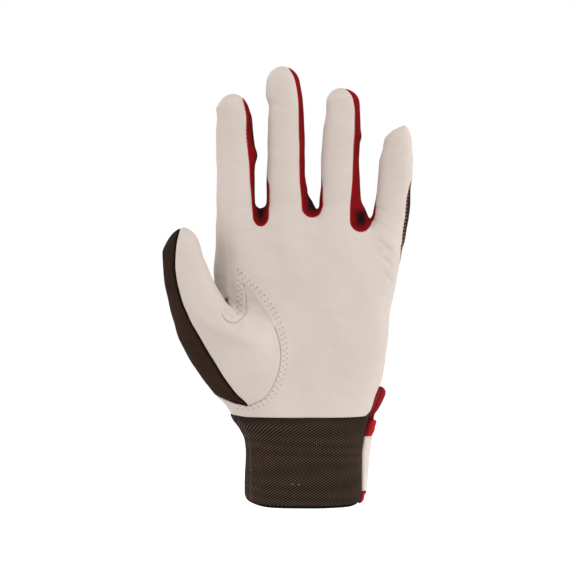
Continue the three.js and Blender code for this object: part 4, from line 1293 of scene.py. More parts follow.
@dataclass(frozen=True)
class WebbingFinish:
    """Woven tape or strap, ribbed across, with painted highlight along its edges."""

    name: str
    face: Shade
    light: Shade
    dark: Shade
    threads: float = 1100.0
    gap_share: float = 0.4

    def material(self) -> Material:
        """Builds the material."""
        paint = Paint(self.name)
        height, gap = paint.weave(self.threads, lean=0.0)
        base = paint.colour(paint.patches(scale=70.0, fine_share=0.4), self.face, self.light)
        # Painted highlight where the edge mark rises.
        edged = paint.colour(paint.mark("edge"), base, self.light)
        return paint.finished(
            Base_Color=paint.colour(paint.math("MULTIPLY", gap, self.gap_share), edged, self.dark),
            Roughness=paint.blend(gap, 0.7, 0.9),
            Specular_IOR_Level=0.2,
            Normal=paint.bump(height, strength=0.7, distance=0.0002),
        )


@dataclass(frozen=True)
class ThreadFinish:
    """Sewing thread, or the painted shade of the small hole that it leaves."""

    name: str
    face: Shade
    light: Shade

    def material(self) -> Material:
        """Builds the material."""
        paint = Paint(self.name)
        patches = paint.patches(scale=300.0, fine_share=0.5)
        fine = paint.noise(scale=4000.0, detail=2.0, rough=0.5)
        return paint.finished(
            Base_Color=paint.colour(patches, self.face, self.light),
            Roughness=paint.blend(patches, 0.7, 0.85),
            Normal=paint.bump(fine, strength=0.3, distance=0.0001),
        )


@dataclass(frozen=True)
class FloorFinish:
    """Pale seamless floor with a faint unevenness, which shows a little brighter than it lights."""

    name: str = "studio floor"
    pale: Shade = (252, 252, 252)
    dim: Shade = (249, 249, 249)
    glow: Shade = (255, 255, 255)
    glow_shown: float = 0.45

    def material(self) -> Material:
        """Builds the material."""
        paint = Paint(self.name)
        seen = paint.add("ShaderNodeLightPath").outputs["Is Camera Ray"]
        return paint.finished(
            Base_Color=paint.colour(paint.patches(scale=0.8, fine_share=0.2), self.pale, self.dim),
            Roughness=0.9,
            Emission_Color=self.glow,
            Emission_Strength=paint.blend(seen, 0.0, self.glow_shown),
        )


@dataclass(frozen=True)
class Crease:
    """A fold or ridge pressed along a line on the palm side.

    A negative depth is a ridge. It fades in and out over a share of its length.
    """

    points: Places
    depth: float
    width: float
    fade_in: float = 0.3
    fade_out: float = 0.3
    steps: int = 16

    def depth_at(self, places: Array) -> Array:
        """How deep it is pressed at places seen from the front."""
        gap, share = to_line(spline(self.points, self.steps), places)
        ends = ramp(share, 0.0, self.fade_in) * (1 - ramp(share, 1 - self.fade_out, 1.0))
        return self.depth * np.exp(-((gap / self.width) ** 2)) * ends


@dataclass(frozen=True)
class Overlap:
    """The fold where the thumb's root bulges over the leather beside it."""

    points: Places
    sunk: float = 1.6
    reach: float = 2.4
    bulge: float = 0.45
    bulge_width: float = 2.5
    step: float = 0.22
    fade_in: tuple[float, float] = (0.02, 0.35)
    fade_out: tuple[float, float] = (0.9, 1.0)
    steps: int = 24

    def depth_at(self, places: Array) -> Array:
        """How deep places seen from the front are pressed: sunk above the line."""
        line = spline(self.points, self.steps)
        gap, share = to_line(line, places)
        i = np.minimum((share * (len(line) - 1)).astype(int), len(line) - 2)
        way, off = line[i + 1] - line[i], places - line[i]
        side = np.where(way[:, 0] * off[:, 1] - way[:, 1] * off[:, 0] > 0, 1.0, -1.0)
        strength = ramp(share, *self.fade_in) * (1 - ramp(share, *self.fade_out))
        above = ramp(gap * side, -self.step, self.step)
        sunk = self.sunk * np.exp(-gap / self.reach) * above
        bulge = self.bulge * np.exp(-((gap / self.bulge_width) ** 2)) * (1 - above)
        return (sunk - bulge) * strength


@dataclass
class StitchRow:
    """A row of lockstitches on the palm side, by places seen from the front."""

    points: Places
    pitch: float = 2.95
    shift: float = 0.0
    side: float = 0.0
    steps: int = 160

    def line(self) -> Array:
        """The row's line, moved to one side where it has one."""
        path = spline(self.points, self.steps)
        way = unit(np.gradient(path, axis=0))
        return path + np.stack([-way[:, 1], way[:, 0]], axis=1) * self.side

    def holes(self) -> Array:
        """Places of the stitch holes."""
        path = self.line()
        return picked(path, np.arange(self.shift, lengths(path)[-1], self.pitch))


class Relief:
    """What shapes the leather beyond its form: folds, stitched seams, holes and soft lumps."""

    OUTER_ROW = (
        (-37.2, 54.9), (-31.5, 54.4), (-26.4, 55.8), (-19.8, 59.2), (-14.2, 65.9), (-10.3, 76.4),
        (-9.2, 84.7), (-10.1, 92.9), (-12.8, 102.8), (-17.9, 112.7), (-24.9, 121.4),
        (-31.3, 127.4), (-35.7, 131.4), (-37.8, 133.7),
    )
    INNER_SIDE = 1.95
    INNER_ROW = OUTER_ROW[:-1]
    LEFT_ROWS = (
        ((-37.0, 126.4), (-36.7, 122.5), (-36.6, 114.8), (-36.9, 110.3)),
        ((-35.0, 125.6), (-34.7, 120.9), (-34.8, 113.7), (-35.6, 108.1)),
    )
    FOLD_LINE = Overlap((
        (-49.7, 122.5), (-48.5, 119.9), (-46.0, 116.4), (-43.7, 114.0), (-38.7, 109.0),
        (-36.4, 106.6),
    ))
    SOFT_SEAMS = (
        ((-47.0, 126.0), (-46.6, 117.0), (-45.9, 110.6)),
        ((-30.5, 121.0), (-25.0, 114.0), (-18.0, 103.0)),
    )
    SOFT_REACH, SOFT_GAP = (1.5, 4.0), 1.6
    TACKS = ((-26.6, 156.1), (-22.5, 156.1), (-31.9, 161.7), (-0.4, 164.9), (34.9, 154.1))
    HOLE_PRESS = ((0.24, 0.42), (0.12, 1.3))
    BAND_RISE, BAND_REACH = 0.3, (4.0, 6.2)
    CREASES = tuple(Crease(*row) for row in (
        (((-45.4, 113.4), (-42.1, 110.3), (-38.7, 107.5), (-35.4, 106.1)), 0.75, 0.6),
        (((-45.7, 110.9), (-42.6, 108.1), (-39.3, 105.7), (-36.0, 105.0)), 0.65, 0.55),
        (((-44.9, 108.7), (-42.1, 106.3), (-39.0, 104.9)), 0.5, 0.55),
        (((-45.0, 114.9), (-43.8, 115.4), (-40.9, 117.6)), 1.5, 0.95, 0.02, 0.9),
        (((-43.9, 115.0), (-41.0, 112.4), (-38.3, 109.8), (-36.2, 108.2)), 2.0, 0.69, 0.02, 0.15),
        (((-37.0, 104.5), (-30.0, 104.0), (-23.0, 100.0), (-17.0, 94.0)), -1.3, 5.0, 0.15, 0.3),
        (((-51.5, 116.0), (-48.5, 108.5), (-43.0, 102.5), (-35.0, 98.5)), -0.35, 3.6),
        (((-61.0, 111.0), (-55.5, 104.5), (-48.0, 99.6), (-31.9, 93.6), (-14.5, 89.0)),
         -1.6, 3.8, 0.1, 0.3),
        (((-57.0, 92.0), (-48.0, 86.0), (-37.0, 82.4), (-27.0, 81.4), (-19.0, 81.0)),
         0.35, 7.0, 0.35, 0.4),
        (((-68.5, 128.0), (-66.5, 119.0), (-64.0, 111.0)), 0.35, 4.2, 0.4, 0.4),
        (((-23.2, 150.9), (-10.4, 149.8), (4.6, 148.7), (14.6, 148.1)), 0.42, 0.8),
        (((-39.9, 152.6), (-29.8, 153.7), (-23.2, 152.0)), 0.35, 0.8),
        (((14.6, 144.8), (25.7, 147.0), (34.6, 148.7)), 0.35, 0.9),
        (((-16.0, 146.8), (-2.0, 145.6), (12.0, 145.2)), 0.25, 0.9),
        (((34.6, 162.0), (42.4, 158.1), (50.2, 152.6)), 0.42, 0.9),
        (((38.0, 150.9), (44.6, 146.4), (51.3, 140.3)), 0.55, 1.0),
        (((40.2, 142.0), (46.9, 136.4), (51.9, 130.9)), 0.6, 1.0),
        (((42.4, 133.1), (47.4, 128.1), (50.8, 123.1)), 0.5, 0.9),
        (((36.0, 168.5), (43.0, 166.0), (49.0, 161.5)), 0.3, 0.9),
        (((24.0, 150.5), (31.0, 147.5), (38.0, 142.5)), 0.25, 1.2),
        (((-11.5, 103.1), (-3.2, 108.1), (10.2, 108.7), (23.0, 104.2), (38.0, 95.9)), 0.35, 1.8),
        (((-9.8, 62.5), (3.5, 65.3), (20.2, 63.1), (34.6, 57.5)), 0.35, 2.2),
        (((4.0, 72.5), (16.0, 74.0), (30.0, 70.5)), 0.25, 2.4),
        (((-32.0, 124.5), (-28.5, 120.5), (-22.5, 112.8), (-14.5, 99.5)), -0.4, 1.5, 0.1, 0.2),
        (((-36.0, 104.5), (-31.0, 108.0), (-28.0, 113.0)), -0.8, 4.0),
        (((-48.2, 188.7), (-39.9, 190.4), (-31.0, 189.2)), 0.3, 1.4),
        (((-47.6, 213.0), (-42.0, 217.5), (-36.0, 215.0)), 0.25, 1.6),
        (((-19.8, 197.6), (-11.5, 199.3), (-3.2, 198.1)), 0.3, 1.4),
        (((-18.5, 226.0), (-11.5, 222.8), (-5.0, 225.0)), 0.3, 1.8),
        (((9.6, 198.7), (18.0, 199.8), (26.8, 198.7)), 0.3, 1.4),
        (((14.0, 226.5), (21.0, 225.2), (27.5, 226.5)), 0.2, 1.2),
        (((42.4, 182.0), (50.2, 183.1), (58.0, 179.8)), 0.3, 1.3),
        (((46.0, 203.0), (52.5, 199.5), (59.0, 202.0)), 0.35, 1.3),
        (((-69.9, 136.4), (-63.2, 138.7), (-56.0, 137.6)), 0.25, 1.3),
    ))
    LUMP_WAVES = (
        ((0.21, 0.13, 0.12), 0.3, 0.16), ((-0.11, 0.2, 0.19), 1.9, 0.13),
        ((0.33, -0.18, 0.07), 4.1, 0.09), ((0.09, 0.31, -0.3), 2.6, 0.08),
        ((-0.47, 0.12, 0.26), 0.9, 0.05), ((0.28, 0.4, 0.51), 5.2, 0.04),
    )
    FACING, SHADED_FACING = (0.05, 0.4), (0.3, 0.65)
    ROOT_LOW, ROOT_HIGH, BEHIND = (-60.0, 100.0), (-31.0, 126.0), (0.8, 2.0)

    def __init__(self, form: GloveForm) -> None:
        """Lays out the stitch rows."""
        self.form = form
        self.rows = [
            StitchRow(self.OUTER_ROW, shift=0.6),
            StitchRow(self.INNER_ROW, shift=2.0, side=self.INNER_SIDE),
            *(StitchRow(row, shift=0.4 + i) for i, row in enumerate(self.LEFT_ROWS)),
        ]
        self.holes = np.vstack([*(row.holes() for row in self.rows), self.TACKS])

    def to_holes(self, seen: Array) -> Array:
        """Distance to the nearest stitch hole at places seen from the front."""
        return to_nearest(tree_of(in_plane(self.holes)), in_plane(seen))

    def softened(self, seen: Array) -> Array:
        """Where seams lie flat, as a share, for places seen from the front."""
        share = np.zeros(len(seen))
        for line in self.SOFT_SEAMS:
            gap, _ = to_line(np.array(line), seen)
            share = np.maximum(share, 1 - ramp(gap, *self.SOFT_REACH))
        return share

    def shown(self, points: Array) -> Array:
        """1 where a point can be seen from the front, 0 where the thumb's root lies before it."""
        seen = points[:, [0, 2]]
        near = np.flatnonzero(np.all((seen > self.ROOT_LOW) & (seen < self.ROOT_HIGH), axis=1))
        share = np.ones(len(points))
        depth = self.form.front_depth(*seen[near].T)
        share[near] = 1 - ramp(points[near, 1] - depth, *self.BEHIND)
        return share

    def lumps(self, points: Array) -> Array:
        """Soft unevenness of a filled glove, in millimetres."""
        waves = self.LUMP_WAVES
        return sum(size * np.sin(points @ np.array(way) + start) for way, start, size in waves)

    def on_palm(self, points: Array, normals: Array, seams: bool) -> Surface:
        """How far each point of the leather moves along its normal, and how deep its folds are.

        Args:
            points: The surface's points.
            normals: Their directions outward.
            seams: Whether the raised band round the thumb's seam is on this panel.

        Returns:
            Moves in millimetres, outward positive, and fold depths for the leather's painted shade.
        """
        move = self.lumps(points)
        facing = ramp(-normals[:, 1], *self.FACING)
        front = np.flatnonzero(facing > 0)
        seen = points[front][:, [0, 2]]
        pressed = self.FOLD_LINE.depth_at(seen)
        for crease in self.CREASES:
            pressed += crease.depth_at(seen)
        pressed *= self.shown(points[front])
        # How deep the folds are where they face the front, which the leather paints as shade.
        fold = np.zeros(len(points))
        fold[front] = pressed * ramp(-normals[front, 1], *self.SHADED_FACING)
        gap = self.to_holes(seen)
        for depth, width in self.HOLE_PRESS:
            pressed += depth * np.exp(-((gap / width) ** 2))
        if seams:
            away = -signed_inside(self.form.outline, seen[:, 0], seen[:, 1])
            band = (1 - ramp(away, *self.BAND_REACH)) * (1 - self.softened(seen))
            pressed -= self.BAND_RISE * band
        move[front] -= pressed * facing[front]
        return move, fold


@dataclass
class Panel:
    """One sewn panel of the glove, as a closed wall whose edges roll in along its seams.

    The roll is how wide the rolled edge is, and the depth how far it goes in.
    """

    name: str
    node: str
    inside: Field
    slot: Slot
    material: Material
    wall: float
    roll: float
    depth: float
    leather: bool = False
    banded: bool = False
    POCKET_SHADE: ClassVar[tuple[float, float]] = (-2.2, 2.5)
    points: Array = field(init=False, repr=False, default=None)
    triangles: Array = field(init=False, repr=False, default=None)

    def cut(self, net: SurfaceNet) -> None:
        """Cuts the panel out of the net."""
        self.points, self.triangles = net.clipped(self.inside)

    def border(self, step: float = 0.35) -> Array:
        """Close points along the panel's edge."""
        ends = self.points[border_sides(self.triangles)]
        count = np.maximum(apart(ends[:, 0], ends[:, 1]) / step, 1).astype(int)
        return np.vstack([
            a + (b - a) * np.linspace(0, 1, n, endpoint=False)[:, None]
            for (a, b), n in zip(ends, count)
        ])

    def build(self, form: GloveForm, relief: Relief) -> Object:
        """Shapes the panel and makes its object.

        Args:
            form: The glove's form.
            relief: Folds, holes and lumps.

        Returns:
            The dressed object.
        """
        normals = unit(slope_of(form.distance, self.points))
        gap = to_nearest(tree_of(self.border()), self.points)
        softened = relief.softened(self.points[:, [0, 2]]) * (self.points[:, 1] < 0)
        gap = gap + relief.SOFT_GAP * softened
        if self.leather:
            drop = np.clip(1 - gap / self.roll, 0, 1) ** 2
            move, fold = relief.on_palm(self.points, normals, self.banded)
        else:
            drop = rounding(gap, self.roll)
            move, fold = relief.lumps(self.points), np.zeros(len(self.points))
        outer = self.points + normals * (move - self.depth * drop)[:, None]
        inner = self.points + normals * (move - self.wall)[:, None]
        points, faces = closed_shell(outer, inner, self.triangles)
        # Painted shadow between the fingers; the seam and fold marks carry painted shade too.
        pocket = ramp(form.pocket(self.points[:, 0], self.points[:, 2]), *self.POCKET_SHADE)
        marks = {
            label: np.concatenate([values, values])
            for label, values in (("seam", gap), ("fold", fold), ("pocket", pocket))
        }
        made = make_object(self.name, points, faces, self.material, marks)
        return settle(made, self.slot, self.node)


def panels_of(form: GloveForm) -> list[Panel]:
    """All covering panels with their places, walls and finishes.

    Args:
        form: The glove's form.

    Returns:
        The panels, not cut yet.
    """
    leather = LeatherFinish().material()
    # The brown's seam tone is painted shadow under the leather's edge.
    brown = StretchFinish(
        "brown stretch fabric",
        face=(49, 33, 27), light=(59, 42, 34), dark=(14, 9, 8), seam=(8, 5, 4),
    ).material()
    # The red's seam tone is a painted highlight beside the leather's edge.
    red = StretchFinish(
        "red stretch fabric",
        face=(112, 14, 18), light=(138, 18, 23), dark=(66, 7, 10), seam=(190, 24, 28),
        groove_reach=1.0, groove_depth=0.7,
    ).material()

    def bounded(inside: Field) -> Field:
        """Ends a panel at the cuff."""
        return lambda x, y, z: np.minimum(inside(x, y, z), form.above_cuff(x, z))

    def strip(i: int) -> Field:
        """The red strip of one gap."""
        return lambda x, y, z: form.strip_panel(i, x, y, z)

    made = [
        Panel("palm_leather_skin", "palm_leather", bounded(form.palm_panel), Slot.LEATHER, leather,
              wall=1.3, roll=0.9, depth=0.28, leather=True, banded=True),
        Panel("thumb_leather_skin", "thumb_leather", bounded(form.thumb_front), Slot.LEATHER,
              leather, wall=1.3, roll=1.7, depth=0.42, leather=True),
        Panel("thumb_back_fabric", "thumb_back", bounded(form.thumb_rear), Slot.BROWN_FABRIC,
              brown, wall=1.2, roll=1.6, depth=1.0),
        Panel("hand_back_fabric", "hand_back", bounded(form.back_panel), Slot.BROWN_FABRIC,
              brown, wall=1.2, roll=1.6, depth=0.9),
    ]
    for i, gap in enumerate(form.GAPS):
        node = f"fourchette_{gap.name}"
        made.append(Panel(
            f"{node}_fabric", node, bounded(strip(i)), Slot.RED_FABRIC, red,
            wall=1.2, roll=0.9, depth=0.6,
        ))
    return made


@dataclass(frozen=True)
class Stitch:
    """One kind of short thread: its size, how deep it lies, and how it is sewn along an edge."""

    length: float
    thick: float
    sunk: float = 0.0
    lean: float = 0.0
    pitch: float = 0.0
    shift: float = 0.0
    SIDES: ClassVar[int] = 6
    RINGS: ClassVar[tuple[tuple[float, float, float], ...]] = (
        (-0.5, 0.25, -0.5), (-0.42, 0.75, -0.2), (-0.2, 1.0, 0.0),
        (0.2, 1.0, 0.0), (0.42, 0.75, -0.2), (0.5, 0.25, -0.5),
    )

    def many(self, middles: Array, ways: Array, normals: Array) -> Surface:
        """Many of it as one mesh.

        Args:
            middles: Where they lie.
            ways: The directions they run in.
            normals: The directions away from the surface.

        Returns:
            The points and quads of all of them.
        """
        third = np.cross(ways, normals)
        rings = []
        for place, part, low in self.RINGS:
            height = low * self.thick - self.sunk
            centre = middles + ways * (place * self.length) + normals * height
            for turn in np.arange(self.SIDES) * math.tau / self.SIDES:
                away = third * math.cos(turn) + normals * math.sin(turn)
                rings.append(centre + away * (self.thick / 2 * part))
        points = np.stack(rings, axis=1)
        last = (len(self.RINGS) - 1) * self.SIDES
        one = [[0, 5, 4, 3], [0, 3, 2, 1]]
        one += [[last, last + 1, last + 2, last + 3], [last, last + 3, last + 4, last + 5]]
        for a in range(last):
            b = a + 1 if (a + 1) % self.SIDES else a + 1 - self.SIDES
            one.append([a, b, b + self.SIDES, a + self.SIDES])
        first = np.arange(len(middles))[:, None, None] * points.shape[1]
        return points.reshape(-1, 3), (np.array(one) + first).reshape(-1, 4)


class Stitching:
    """All visible thread: the double rows round the thumb and the small seam stitches."""

    ROW = Stitch(2.2, 0.34, sunk=0.13)
    ROW_END = Stitch(0.56, 0.46, sunk=0.2)
    FINGER = Stitch(0.7, 0.22, sunk=0.3, lean=0.35, pitch=2.0, shift=0.1)
    SIDE = Stitch(1.35, 0.5, sunk=0.1, lean=0.5, pitch=2.1, shift=0.55)
    SIDE_X, SIDE_Z = 44.0, 110.0
    SHORT_LOOP = 20.0
    BEYOND = 0.9

    def __init__(self, form: GloveForm, relief: Relief) -> None:
        """Takes what the threads lie on."""
        self.form = form
        self.relief = relief
        self.pale = ThreadFinish("pale thread", (214, 202, 190), (226, 215, 205)).material()
        # The holes' thread ends are dark with painted shade.
        self.hole = ThreadFinish("stitch hole", (120, 106, 95), (140, 126, 115)).material()
        self.tan = ThreadFinish("tan thread", (178, 140, 102), (198, 162, 122)).material()

    def build_rows(self) -> None:
        """The double rows: a thread between two holes and a sunk thread end in each hole."""
        threads, ends = [], []
        for row in self.relief.rows:
            points = self.form.on_front(row.holes())
            normals = unit(slope_of(self.form.distance, points))
            rise = self.relief.lumps(points) + self.relief.BAND_RISE
            points = points + normals * rise[:, None]
            middles, between = (points[1:] + points[:-1]) / 2, unit(normals[1:] + normals[:-1])
            threads.append((middles, unit(np.diff(points, axis=0)), between))
            ends.append((points, unit(np.gradient(points, axis=0)), normals))
        for name, laid, stitch, finish in (
            ("thumb_seam_thread", threads, self.ROW, self.pale),
            # Thread ends in the holes, dark with the holes' painted shade.
            ("thumb_seam_holes", ends, self.ROW_END, self.hole),
        ):
            mesh = stitch.many(*(np.vstack(part) for part in zip(*laid)))
            settle(make_object(name, *mesh, finish), Slot.LEATHER)

    def along_border(self, panel: Panel, beyond: Field, stitch: Stitch) -> tuple[Array, ...]:
        """Stitches along a panel's edge where another panel lies beyond it.

        Args:
            panel: The panel whose edge is sewn.
            beyond: Positive on the other panel.
            stitch: What it is sewn with.

        Returns:
            Their middles, directions and normals.
        """
        found = []
        for loop in border_loops(panel.triangles):
            path = panel.points[loop + loop[:1]]
            total = lengths(path)[-1]
            if total < self.SHORT_LOOP:
                continue
            place = picked(path, np.arange(0, total, stitch.pitch))
            found.append((place, unit(np.roll(place, -1, axis=0) - np.roll(place, 1, axis=0))))
        places, ways = (np.vstack(part) for part in zip(*found))
        normals = unit(slope_of(self.form.distance, places))
        across = unit(np.cross(ways, normals))
        shown = beyond(*(places + across * self.BEYOND).T) > 0
        places, ways, across, normals = (part[shown] for part in (places, ways, across, normals))
        places = onto(self.form.distance, places + across * stitch.shift, 1)
        return places, unit(across + stitch.lean * ways), normals

    def build_seams(self, palm: Panel) -> None:
        """Small stitches along the red strips, and a zigzag on the little-finger side.

        Args:
            palm: The palm leather, whose edge they follow.
        """
        form = self.form

        def by_red(x: Array, y: Array, z: Array) -> Array:
            """Positive where a red strip lies."""
            return np.max([form.strip_panel(i, x, y, z) for i in range(len(form.GAPS))], axis=0)

        def by_side(x: Array, y: Array, z: Array) -> Array:
            """Positive where the back fabric comes forward beside the little finger."""
            return np.min([form.back_panel(x, y, z), x - self.SIDE_X, z - self.SIDE_Z], axis=0)

        for name, beyond, stitch, finish in (
            ("finger_seam_thread", by_red, self.FINGER, self.pale),
            ("side_seam_thread", by_side, self.SIDE, self.tan),
        ):
            mesh = stitch.many(*self.along_border(palm, beyond, stitch))
            settle(make_object(name, *mesh, finish), Slot.LEATHER)


def grid_shell(
    outer: Array, inner: Array, solid: Array | None = None,
) -> tuple[Array, Array, Array]:
    """A closed wall between two grids of points.

    Args:
        outer: Outer points by row and column.
        inner: Inner points, the same way.
        solid: Which cells are filled; all of them when left out.

    Returns:
        Its points and quads, and the numbers of the grid points that it keeps.
    """
    index = np.arange(outer.shape[0] * outer.shape[1]).reshape(outer.shape[:2])
    quads = np.stack([index[:-1, :-1], index[:-1, 1:], index[1:, 1:], index[1:, :-1]], axis=2)
    quads = quads.reshape(-1, 4) if solid is None else quads[solid]
    return compact(*closed_shell(outer.reshape(-1, 3), inner.reshape(-1, 3), quads))


class CuffForm:
    """The knitted cuff's sections, which the strap and the tapes follow too."""

    ROWS = Table(
        "z left right depth",
        (0, -31.6, 31.6, 21.5),
        (4, -32.9, 32.8, 22.6),
        (14, -33, 32.8, 22.9),
        (28, -32.7, 32.8, 22.6),
        (36, -33.4, 33.8, 22.4),
        (42, -36, 35, 22.2),
        (47, -39.7, 36.6, 22),
        (50.3, -41.2, 38.4, 21.7),
    )
    POWER = 2 / 2.25
    MIDDLE = 24.0

    def point(self, angle: Array, z: Array, offset: Array) -> Array:
        """A point round the cuff, moved outwards by an offset.

        Args:
            angle: Angle from the little-finger side.
            z: Height.
            offset: Distance outside the cuff's face.

        Returns:
            The points.
        """
        angle, z, offset = np.broadcast_arrays(angle, z, offset)
        left, right = self.ROWS("left", z), self.ROWS("right", z)
        c, s = np.cos(angle), np.sin(angle)
        half = (right - left) / 2 + offset
        x = (left + right) / 2 + half * np.sign(c) * np.abs(c) ** self.POWER
        y = (self.ROWS("depth", z) + offset) * np.sign(s) * np.abs(s) ** self.POWER
        return np.stack([x, y, z], axis=-1)

    def even_angles(self, count: int) -> tuple[Array, float]:
        """Angles in even steps round the cuff, and its length round."""
        fine = np.linspace(0, math.tau, 2001)
        along = lengths(self.point(fine, self.MIDDLE, 0.0))
        return np.interp(np.arange(count) / count * along[-1], along, fine), along[-1]


@dataclass
class Cuff:
    """The knitted wrist band, with its slanting ribs as real relief."""

    form: CuffForm
    glove: GloveForm
    columns: int = 500
    levels: int = 176
    inner_levels: int = 12
    wall: float = 1.8
    rib_across: float = 2.25
    rib_up: float = 1.44
    depth: float = 0.36
    foot_rise: float = 2.4
    left_power: float = 5.0
    right_power: float = 13.0
    seam_angle: float = 3.62
    seam_width: float = 0.02
    seam_rise: float = 0.25
    flat_top: tuple[float, float] = (0.9, 0.98)
    flat_foot: tuple[float, float] = (0.0, 0.04)
    foot_radius: float = 1.1
    foot_drop: float = 0.9
    head_reach: float = 0.8
    head_drop: float = 0.5
    # Heights of the painted shadow along the foot.
    hem_shadow: tuple[float, float] = (1.2, 1.9)
    net_share: tuple[float, float] = (0.22, 0.5)
    net_middle: float = 0.93
    mean_relief: float = 0.6
    lint_rise: float = 0.15
    lint: Places = ((7.0, 35.9), (-29.8, 29.4), (-2.6, 13.6), (-6.2, 13.7), (-29.1, 20.5))
    speck: Stitch = Stitch(0.6, 0.38)

    def relief(self, along: Array, z: Array, length: float) -> Array:
        """Height of the knit from 0 to 1: slanting ribs, crossed by a net on the right.

        Args:
            along: Distance round the cuff.
            z: Height.
            length: The cuff's length round.

        Returns:
            The relief.
        """
        turns = round(length / self.rib_across)
        round_phase = along / length * turns * math.tau
        up_phase = z / self.rib_up * math.tau
        wander = 0.5 * np.sin(along * 0.11 + 0.7) * np.sin(z * 0.16) + 0.3 * np.sin(z * 0.31)
        rib = 0.5 + 0.5 * np.cos(up_phase - round_phase + wander)
        cross = 0.5 + 0.5 * np.cos(up_phase + round_phase + wander * 0.6)
        right = 0.5 + 0.5 * np.cos((along / length - self.net_middle) * math.tau)
        net = mix(*self.net_share, right)
        bands = 0.95 + 0.05 * np.sin(0.838 * (z - 45.4) + 2.2 * np.sin(along * 0.04 + z * 0.21))
        return (rib**1.4 * (1 - net) + net * cross**1.2) * bands

    def build(self) -> None:
        """Builds the cuff and the few specks of lint on it."""
        angle, length = self.form.even_angles(self.columns)
        along = np.arange(self.columns) / self.columns * length
        level = np.linspace(0, 1, self.levels)[:, None]
        z = level * self.glove.CUFF_TOP + np.zeros(self.columns)
        plain = 0.35 * ramp(level, *self.flat_top) + 0.5 * (1 - ramp(level, *self.flat_foot))
        side_seam = np.exp(-(((angle - self.seam_angle) / self.seam_width) ** 2))
        face = self.relief(along, z, length) * (1 - plain)
        face = face + 0.42 * plain + self.seam_rise * side_seam
        foot = rounding(z, self.foot_radius) * self.foot_drop
        head = np.clip(1 - (self.glove.CUFF_TOP - z) / self.head_reach, 0, 1) ** 2 * self.head_drop
        ripple = 0.25 * np.sin(along * 0.23) * np.sin(z * 0.13 + 1)
        offset = (face - self.mean_relief) * self.depth + ripple - foot - head
        power = np.where(np.cos(angle) > 0, self.right_power, self.left_power)
        side = np.abs(np.cos(angle)) ** power * self.foot_rise
        outer = self.form.point(angle, z, offset)
        outer[..., 2] = mix(side, self.glove.cuff_edge(outer[..., 0]), level)
        inner = self.form.point(angle, z, ripple - self.wall)
        inner[..., 2] = outer[..., 2]
        inner = inner[np.linspace(0, self.levels - 1, self.inner_levels).astype(int)]
        # Painted shadow under the foot: the relief mark dips below 0 there, to the darkest groove
        # tone.
        hem_shadow = 1 - ramp(z, *self.hem_shadow)
        shown = np.clip(face, 0, 1) * (1 - hem_shadow) - 0.1 * hem_shadow
        hidden = np.full(inner.shape[0] * self.columns, 0.4)
        marks = {"relief": np.concatenate([shown.ravel(), hidden])}
        mesh = self.ring_wall(outer, inner)
        settle(make_object("cuff_knit", *mesh, KnitFinish().material(), marks), Slot.KNIT, "cuff")
        self.build_lint()

    @staticmethod
    def ring_wall(outer: Array, inner: Array) -> Surface:
        """A closed wall between a fine outer and a coarse inner ring grid.

        Args:
            outer: Outer points by row and column.
            inner: Inner points, with as many columns.

        Returns:
            Its points and quads.
        """
        count = outer.shape[1]
        first = np.arange(outer.shape[0] * count).reshape(-1, count)
        second = np.arange(inner.shape[0] * count).reshape(-1, count) + first.size
        quads = []
        for grid, turn in ((first, 1), (second, -1)):
            beside = np.roll(grid, -1, axis=1)
            corners = np.stack([grid[:-1], beside[:-1], beside[1:], grid[1:]], axis=2)
            quads.append(corners.reshape(-1, 4)[:, ::turn])
        for outside, inside, turn in ((first[0], second[0], -1), (first[-1], second[-1], 1)):
            rim = [outside, np.roll(outside, -1), np.roll(inside, -1), inside]
            quads.append(np.stack(rim, axis=1)[:, ::turn])
        return np.vstack([outer.reshape(-1, 3), inner.reshape(-1, 3)]), np.vstack(quads)

    def build_lint(self) -> None:
        """A few pale specks caught in the knit."""
        places = np.array(self.lint)
        fine = np.linspace(-math.pi, 0, 2001)
        angle = [np.interp(x, self.form.point(fine, z, 0.0)[:, 0], fine) for x, z in places]
        points = self.form.point(angle, places[:, 1], self.lint_rise)
        out = unit(points * np.array([1, 1, 0]))
        way = unit(np.cross(out, np.array([0.2, 0.0, 1.0])))
        finish = ThreadFinish("lint", (150, 138, 130), (170, 160, 152)).material()
        settle(make_object("cuff_lint", *self.speck.many(points, way, out), finish), Slot.KNIT)


